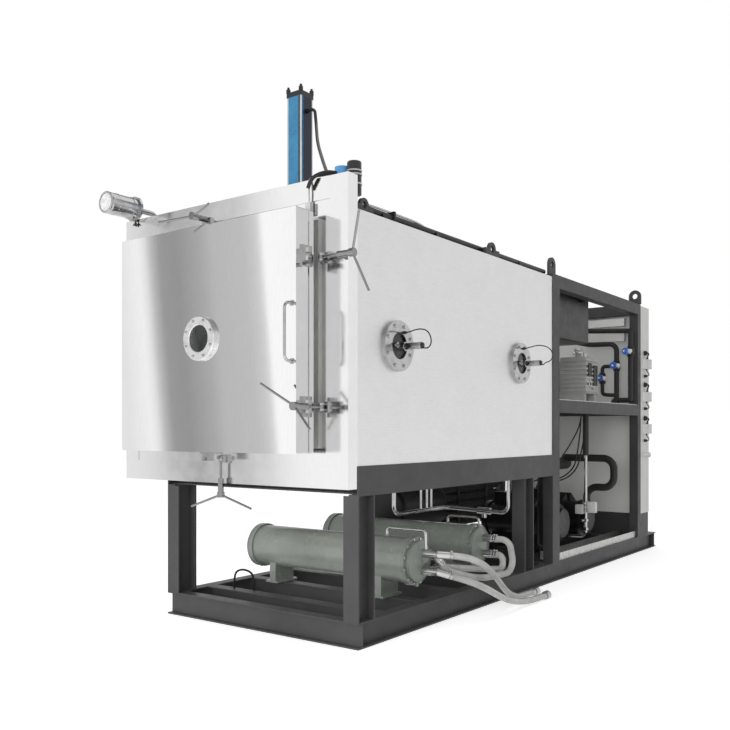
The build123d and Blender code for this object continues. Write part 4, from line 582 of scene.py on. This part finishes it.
# Each lead's y at the lamp and at its gland, and its turns outwards and up from the lamp's end
LEADS = (
    (-2.047, -2.047, ((0.010, -0.014), (0.034, -0.020), (0.058, 0.000), (0.060, 0.036), (0.040, 0.076),
                      (0.000, 0.092), (-0.045, 0.090), (-0.080, 0.080), (-0.104, 0.078))),
    (-0.516, -0.540, ((0.008, -0.012), (0.024, -0.016), (0.040, 0.002), (0.068, 0.004), (0.094, 0.026),
                      (0.098, 0.066), (0.066, 0.106), (0.000, 0.124), (-0.060, 0.114), (-0.104, 0.104))),
)
for number, (lamp_y, gland_y, turns) in enumerate(LEADS, 1):
    last = len(turns) - 1
    points = [Vector((LAMP_END + out, lamp_y + (gland_y - lamp_y) * k / last, PORT_Z + up))
              for k, (out, up) in enumerate(turns)]
    tube(f"lamp_lead_{number}", points, 0.007, "black_rubber", "root")
    builder = bmesh.new()
    add_lathe(builder, [(0.0100, -0.0005), (0.0100, 0.006), (0.0078, 0.008), (0.0070, 0.014), (0.0045, 0.018)],
              towards((GLAND_FACE, gland_y, points[-1].z), RIGHT), 6)
    add_lathe(builder, [(0.0175, -0.0005), (0.0175, 0.004), (0.0150, 0.008), (0.0060, 0.011)],
              towards((LAMP_END, lamp_y, PORT_Z), RIGHT), 28)
    finish_piece(builder, f"lamp_gland_{number}", "black_rubber", "root")

# ---- Bands on the cooling-water hoses --------------------------------------------------------------------
def add_hose_band(builder, place, direction):
    """A worm-drive clip: the band and its screw housing on the upper side."""
    add_band(builder, place, direction, 0.0206, 0.0232, 0.012)
    axis = Vector(direction).normalized()
    up = (Vector(UP) - axis * axis.z).normalized()
    add_lathe(builder, [(0.0035, -0.009), (0.0050, -0.008), (0.0050, 0.008), (0.0035, 0.009)],
              towards(Vector(place) + up * 0.0262, axis.cross(up)), 12)


builder = bmesh.new()
for start, heading in (((0.772, -1.6856, 0.3812), (0, 0.8, -0.6)), ((0.730, -1.672, 0.318), BACK),
                       ((0.712, -0.900, 0.422), RIGHT), ((0.712, -0.900, 0.318), RIGHT)):
    for distance in (0.014, 0.032):
        add_hose_band(builder, Vector(start) + Vector(heading) * distance, heading)
for start, onward in ((supply_points[0], supply_points[1]), (return_points[0], return_points[1])):
    heading = (onward - start).normalized()
    add_hose_band(builder, start + heading * 0.014, heading)
finish_piece(builder, "hose_bands", "bright", "root")

# ---- Solenoid valves and their branch on the refrigerant lines -------------------------------------------
LINE_Y = 1.850
tube("branch_line", [(0.574, LINE_Y, 1.757), (0.500, LINE_Y, 1.757), (0.436, LINE_Y, 1.757), (0.436, LINE_Y, 1.680),
                     (0.436, LINE_Y, 1.560), (0.436, LINE_Y, 1.492), (0.500, LINE_Y, 1.482), (0.574, LINE_Y, 1.482)],
     0.036, "lagging", "root")
# Each valve's x and z, and where its coil points
VALVES = ((0.708, 1.886, (-0.30, -0.95, 0)), (0.574, 1.757, (-0.02, -1, 0)), (0.436, 1.643, (0.05, -1, 0)))
for number, (x, z, heading) in enumerate(VALVES, 1):
    seat = Vector((x, LINE_Y, z))
    axis = Vector(heading).normalized()
    builder = bmesh.new()
    add_lathe(builder, [(0.024, -0.052), (0.029, -0.050), (0.029, -0.036), (0.034, -0.030), (0.034, 0.030),
                        (0.029, 0.036), (0.029, 0.050), (0.024, 0.052)], towards(seat, UP), 28)
    add_lathe(builder, [(0.024, 0.020), (0.024, 0.040), (0.014, 0.046), (0.014, 0.102)], towards(seat, axis), 24)
    finish_piece(builder, f"valve_body_{number}", "black_paint", "root")
    builder = bmesh.new()
    add_lathe(builder, [(0.012, 0.044), (0.028, 0.044), (0.0325, 0.049), (0.0335, 0.070), (0.0325, 0.090),
                        (0.028, 0.095), (0.012, 0.095)], towards(seat, axis), 36)
    finish_piece(builder, f"valve_coil_{number}", "coil_paint", "root")
    builder = bmesh.new()
    add_bolt(builder, seat + axis * 0.0945, axis, 0.0125)
    side = axis.cross(Vector(DOWN)).normalized()
    plug = seat + axis * 0.070 + (side if side.x > 0 else -side) * 0.045
    add_block(builder, plug, (0.028, 0.034, 0.032), 0.004, axis.to_track_quat("Y", "Z").to_matrix().to_4x4())
    add_lathe(builder, [(0.0085, 0.0), (0.0085, 0.010), (0.0065, 0.014)],
              towards(plug + Vector((0, 0, -0.014)), DOWN), 6)
    finish_piece(builder, f"valve_plug_{number}", "light_paint", "root")

# ---- Glands and leads of the control cabinet -------------------------------------------------------------
CABINET_SIDE = 0.750
BOX_X, BOX_Y = CABINET_SIDE + 0.028, 2.116
for number, (box_z, gland_z) in enumerate(((1.779, 1.887), (1.467, 1.584), (1.161, 1.263)), 1):
    builder = bmesh.new()
    for height, radius in ((gland_z, 0.021), (box_z - 0.112, 0.013)):
        add_lathe(builder, [(radius * 1.15, -0.0005), (radius * 1.15, 0.007), (radius, 0.008), (radius, 0.020),
                            (radius * 0.8, 0.026), (radius * 0.55, 0.030)],
                  towards((CABINET_SIDE, BOX_Y, height), RIGHT), 20)
    add_lathe(builder, [(0.012, -0.0005), (0.012, 0.008), (0.009, 0.014)],
              towards((BOX_X, BOX_Y, box_z + 0.046), UP), 6)
    add_lathe(builder, [(0.009, -0.0005), (0.009, 0.008), (0.006, 0.013)],
              towards((BOX_X, BOX_Y - 0.018, box_z - 0.046), DOWN), 6)
    finish_piece(builder, f"cabinet_gland_{number}", "black_rubber", "root")
    tube(f"box_lead_{number}", [
        (BOX_X, BOX_Y, box_z + 0.052), (BOX_X, BOX_Y, box_z + 0.072),
        (BOX_X + 0.012, BOX_Y, gland_z - 0.020), (BOX_X + 0.014, BOX_Y, gland_z),
        (CABINET_SIDE + 0.026, BOX_Y, gland_z)], 0.013, "black_rubber", "root")
    tube(f"box_wire_{number}", [
        (BOX_X, BOX_Y - 0.018, box_z - 0.050), (BOX_X, BOX_Y - 0.018, box_z - 0.068),
        (BOX_X + 0.024, BOX_Y - 0.024, box_z - 0.086), (BOX_X + 0.022, BOX_Y - 0.016, box_z - 0.112),
        (CABINET_SIDE + 0.026, BOX_Y, box_z - 0.112)], 0.008, "black_rubber", "root")
    builder = bmesh.new()
    for y in (BOX_Y - 0.036, BOX_Y + 0.036):
        for z in (box_z - 0.036, box_z + 0.036):
            add_bolt(builder, (CABINET_SIDE + 0.056, y, z), RIGHT, 0.0035, washer=False)
    finish_piece(builder, f"box_screws_{number}", "bolt", "root")

# ---- Rack: the lagged riser, its boxes and the compressors' leads ----------------------------------------
RISER = Vector((0.610, 1.000, 0.0))
builder = bmesh.new()
add_lathe(builder, [(0.0135, 0.0), (0.0240, 0.002), (0.0255, 0.008), (0.0255, 0.440), (0.0240, 0.4525),
                    (0.0135, 0.4535)], towards(RISER + Vector((0, 0, 0.931)), UP), 28)
finish_piece(builder, "riser_lagging", "lagging", "root")
builder = bmesh.new()
add_block(builder, RISER + Vector((-0.052, 0, 0.466)), (0.072, 0.050, 0.080), 0.006)
add_block(builder, RISER + Vector((0.056, 0, 0.488)), (0.078, 0.046, 0.094), 0.006)
for z in (0.446, 0.486, 0.520):
    add_band(builder, RISER + Vector((0, 0, z)), UP, 0.0128, 0.0175, 0.010, 24)
finish_piece(builder, "riser_boxes", "light_paint", "root")
builder = bmesh.new()
for x, z in ((-0.075, 0.440), (-0.030, 0.492), (0.030, 0.455), (0.082, 0.521)):
    add_bolt(builder, RISER + Vector((x, -0.0246 if x < 0 else -0.0226, z)), FRONT, 0.004, washer=False)
for z in (0.300, 0.374):
    add_band(builder, RISER + Vector((0, 0, z)), UP, 0.0128, 0.0235, 0.026, 6)
add_lathe(builder, [(0.007, 0.012), (0.007, 0.034), (0.012, 0.036), (0.012, 0.042), (0.004, 0.044)],
          towards(RISER + Vector((0, 0, 0.374)), (-0.5, -0.8, 0)), 20)
finish_piece(builder, "riser_fittings", "bright", "root")

COMPRESSOR_LEADS = (
    ((0.590, 0.975, 1.386), (0.587, 0.970, 1.300), (0.570, 0.960, 1.180), (0.500, 0.960, 1.050),
     (0.430, 0.940, 0.930), (0.340, 0.860, 0.780), (0.220, 0.760, 0.690), (0.060, 0.715, 0.670),
     (0.050, 0.710, 0.610)),
    ((0.600, 1.030, 1.386), (0.598, 1.030, 1.280), (0.585, 1.040, 1.120), (0.545, 1.060, 0.950),
     (0.480, 1.120, 0.800), (0.330, 1.200, 0.700), (0.160, 1.260, 0.680), (0.050, 1.270, 0.660),
     (0.045, 1.270, 0.610)),
    ((0.575, 1.000, 1.386), (0.570, 1.000, 1.290), (0.555, 1.010, 1.120), (0.520, 1.040, 0.960),
     (0.450, 1.140, 0.820), (0.310, 1.220, 0.720), (0.140, 1.290, 0.690), (0.020, 1.300, 0.670),
     (0.012, 1.300, 0.610)),
)
for number, points in enumerate(COMPRESSOR_LEADS, 1):
    tube(f"compressor_lead_{number}", points, 0.012, "black_rubber", "root")

# ---- Vacuum pump's fittings ------------------------------------------------------------------------------
PUMP_INLET = (0.425, 1.287, 1.846)
builder = bmesh.new()
add_lathe(builder, [(0.041, -0.0005), (0.041, 0.004), (0.036, 0.010), (0.020, 0.013)],
          towards((0.425, 1.287, 1.871), UP), 32)
add_band(builder, PUMP_INLET, UP, 0.0395, 0.0465, 0.016, 32)
for angle in (0.6, 2.7, 4.8):
    out = Vector((math.cos(angle), math.sin(angle), 0))
    add_lathe(builder, [(0.005, 0.040), (0.005, 0.056), (0.010, 0.058), (0.010, 0.066), (0.006, 0.069)],
              towards(PUMP_INLET, out), 14)
add_lathe(builder, [(0.024, -0.0005), (0.024, 0.010), (0.019, 0.012), (0.019, 0.026), (0.014, 0.030)],
          towards((0.525, 1.185, 1.801), UP), 28)
add_band(builder, (0.5625, 1.215, 1.560), RIGHT, 0.017, 0.027, 0.009, 32)
add_bolt(builder, (0.5620, 1.300, 1.520), RIGHT, 0.012)
finish_piece(builder, "pump_fittings", "bright", "root")
builder = bmesh.new()
add_block(builder, (0.5635, 1.215, 1.685), (0.006, 0.078, 0.120), 0.002)
add_block(builder, (0.5635, 1.345, 1.640), (0.006, 0.090, 0.180), 0.002)
add_lathe(builder, [(0.018, -0.0005), (0.018, 0.001), (0.010, 0.002)], towards((0.562, 1.215, 1.560), RIGHT), 24)
finish_piece(builder, "pump_covers", "black_paint", "root")

# ---- Air pipe with its clip, turret rings and sensor sleeve on the roof ----------------------------------
tube("air_pipe", [(0.700, -2.385, 2.356), (0.698, -2.330, 2.372), (0.694, -2.250, 2.378), (0.692, -2.120, 2.379),
                  (0.692, -1.950, 2.379), (0.690, -1.760, 2.378), (0.688, -1.715, 2.368)],
     0.012, "bright", "root")
builder = bmesh.new()
add_block(builder, (0.688, -2.053, 2.364), (0.050, 0.022, 0.046), 0.005)
finish_piece(builder, "pipe_clips", "black_paint", "root")
builder = bmesh.new()
for z in (2.462, 2.512, 2.532):
    add_band(builder, (0.685, -2.400, z), UP, 0.0385, 0.0425, 0.008, 40)
finish_piece(builder, "turret_rings", "bright", "root")

tube("sensor_sleeve", [(0.604, -2.405, 2.525), (0.590, -2.450, 2.534), (0.565, -2.510, 2.522),
                       (0.535, -2.553, 2.496), (0.508, -2.557, 2.470), (0.493, -2.553, 2.440)],
     0.021, "black_rubber", "root")

# ---- Lagged coil on the rack's left side, with its straps ------------------------------------------------
COIL_X, COIL_PITCH = -0.708, 0.080
front_end, rear_end = 0.215, 1.850
coil_points = [(COIL_X, front_end, 1.386), (COIL_X, front_end, 1.200), (COIL_X, front_end, 0.900),
               (COIL_X, front_end, 0.680)]
for turn in range(6):
    height = 0.670 - turn * COIL_PITCH
    near, far = (front_end, rear_end) if turn % 2 == 0 else (rear_end, front_end)
    step = 0.110 if near < far else -0.110
    coil_points += [(COIL_X, near + (0 if turn == 0 else -step * 0.2), height), (COIL_X, near + step, height),
                    (COIL_X, (near + far) / 2, height), (COIL_X, far - step, height),
                    (COIL_X, far + step * 0.2, height)]
coil_points += [(COIL_X, front_end, 0.230), (COIL_X, front_end, 0.150)]
tube("lagged_coil", coil_points, 0.0795, "lagging", "root")
builder = bmesh.new()
for y in (0.480, 1.030, 1.580):
    add_block(builder, (COIL_X + 0.040, y, 0.745), (0.006, 0.040, 1.090), 0.002)
    for height in (0.230, 0.450, 0.710, 1.260):
        add_bolt(builder, (COIL_X + 0.0425, y, height), RIGHT, 0.009)
finish_piece(builder, "coil_straps", "rack_paint", "root")

# ---- Lifting hoop on the skid ----------------------------------------------------------------------------
tube("skid_hoop", [(-0.492, -2.124, 0.139), (-0.492, -2.124, 0.195), (-0.478, -2.123, 0.250), (-0.411, -2.118, 0.268),
                   (-0.344, -2.112, 0.250), (-0.330, -2.110, 0.195), (-0.330, -2.110, 0.139)],
     0.013, "black_paint", "root")

# ---- Floor, light and sky -------------------------------------------------------------------------------
# The floor stops short in front, so that the door mirrors the white walls and no horizon
FLOOR_SIZE, FLOOR_FRONT, FLOOR_GLOW = 120.0, -7.0, 0.56
bpy.ops.mesh.primitive_plane_add(size=FLOOR_SIZE, location=(0, FLOOR_FRONT + FLOOR_SIZE / 2, 0))
floor = bpy.context.object
floor.name = "floor"
floor_look = Look("floor")
paths = floor_look.node("ShaderNodeLightPath").outputs
seen = floor_look.math("MAXIMUM", paths["Is Camera Ray"],
                       floor_look.math("MAXIMUM", paths["Is Glossy Ray"], paths["Is Transmission Ray"]))
floor.data.materials.append(floor_look.set(
    Base_Color=floor_look.tones(floor_look.noise(0.8), grey(0.945), grey(0.96)), Roughness=0.9,
    Emission_Color=(1, 1, 1, 1), Emission_Strength=floor_look.math("MULTIPLY", seen, FLOOR_GLOW)))


def area_light(name, place, aim, size, energy, mirrored=True):
    data = bpy.data.lights.new(name, "AREA")
    data.size = size
    data.energy = energy
    light = bpy.data.objects.new(name, data)
    light.location = place
    light.rotation_euler = (Vector(aim) - Vector(place)).to_track_quat("-Z", "Y").to_euler()
    light.visible_glossy = mirrored
    scene.collection.objects.link(light)


area_light("key", (0.5, -10.0, 1.9), (0.0, -1.5, 1.0), 3.2, 270, mirrored=False)
area_light("fill", (3.4, -8.8, 2.2), (0.8, 1.0, 1.3), 2.4, 150, mirrored=False)
area_light("top", (0.5, -0.5, 7.0), UP, 6.0, 110)

# Camera and transmission rays see plain white. The rest see a studio that is white round the machine and darker
# overhead, with the grey flag and its soft edges that the door mirrors; its right side is dimmer except in metal.
world = bpy.data.worlds.new("studio")
scene.world = world
world.use_nodes = True
sky = Nodes(world.node_tree)
backdrop = sky.tree.nodes["Background"]


def sky_levels(value, stops):
    """A brightness that runs in straight lines through its stops, each (value, level)."""
    start, end = stops[0][0], stops[-1][0]
    made = sky.node("ShaderNodeValToRGB", {0: sky.spread(value, 0.0, 1.0, start, end)})
    elements = made.color_ramp.elements
    while len(elements) < len(stops):
        elements.new(0.5)
    for element, (place, level) in zip(elements, stops):
        element.position = (place - start) / (end - start)
        element.color = (level, level, level, 1.0)
    return made.outputs[0]


view = sky.node("ShaderNodeTexCoord").outputs["Generated"]
across, along, rise = sky.node("ShaderNodeSeparateXYZ", {0: view}).outputs
paths = sky.node("ShaderNodeLightPath").outputs
height_level = sky_levels(rise, [
    (-0.2, 1.0), (0.0, 1.0), (0.47, 1.0), (0.56, 0.50), (0.75, 0.38), (1.0, 0.35)])
# The flag's bearings are in radians from -Y towards -X, and lean with height
FLAG_LEAN = -0.080
left, front = (sky.math("MULTIPLY", axis, -1.0) for axis in (across, along))
bearing = sky.math("ADD", sky.math("ARCTAN2", left, front), sky.math("MULTIPLY", rise, FLAG_LEAN))
flag_level = sky_levels(bearing, [
    (0.55, 1.0), (0.64, 1.16), (0.7395, 1.25), (0.746, 0.86), (0.752, 0.76), (0.764, 0.67), (0.800, 0.625),
    (0.814, 0.52), (0.842, 0.388), (0.861, 0.417), (0.8705, 0.65), (0.878, 1.02), (0.885, 1.16), (0.91, 1.0),
    (0.95, 1.10), (1.0, 1.08), (1.05, 1.0)])
aside = sky.math("MULTIPLY_ADD", along, 0.24, sky.math("MULTIPLY", across, 0.97))
side_level = sky.math("MAXIMUM", sky.spread(aside, 1.0, 0.66, 0.08, 0.60), paths["Is Glossy Ray"])
level = sky.math("MULTIPLY", sky.math("MULTIPLY", height_level, flag_level), side_level)
for plain in (paths["Is Camera Ray"], paths["Is Transmission Ray"]):
    level = sky.math("MAXIMUM", level, plain)
sky.plug(level, backdrop.inputs["Color"])
backdrop.inputs["Strength"].default_value = 1.0
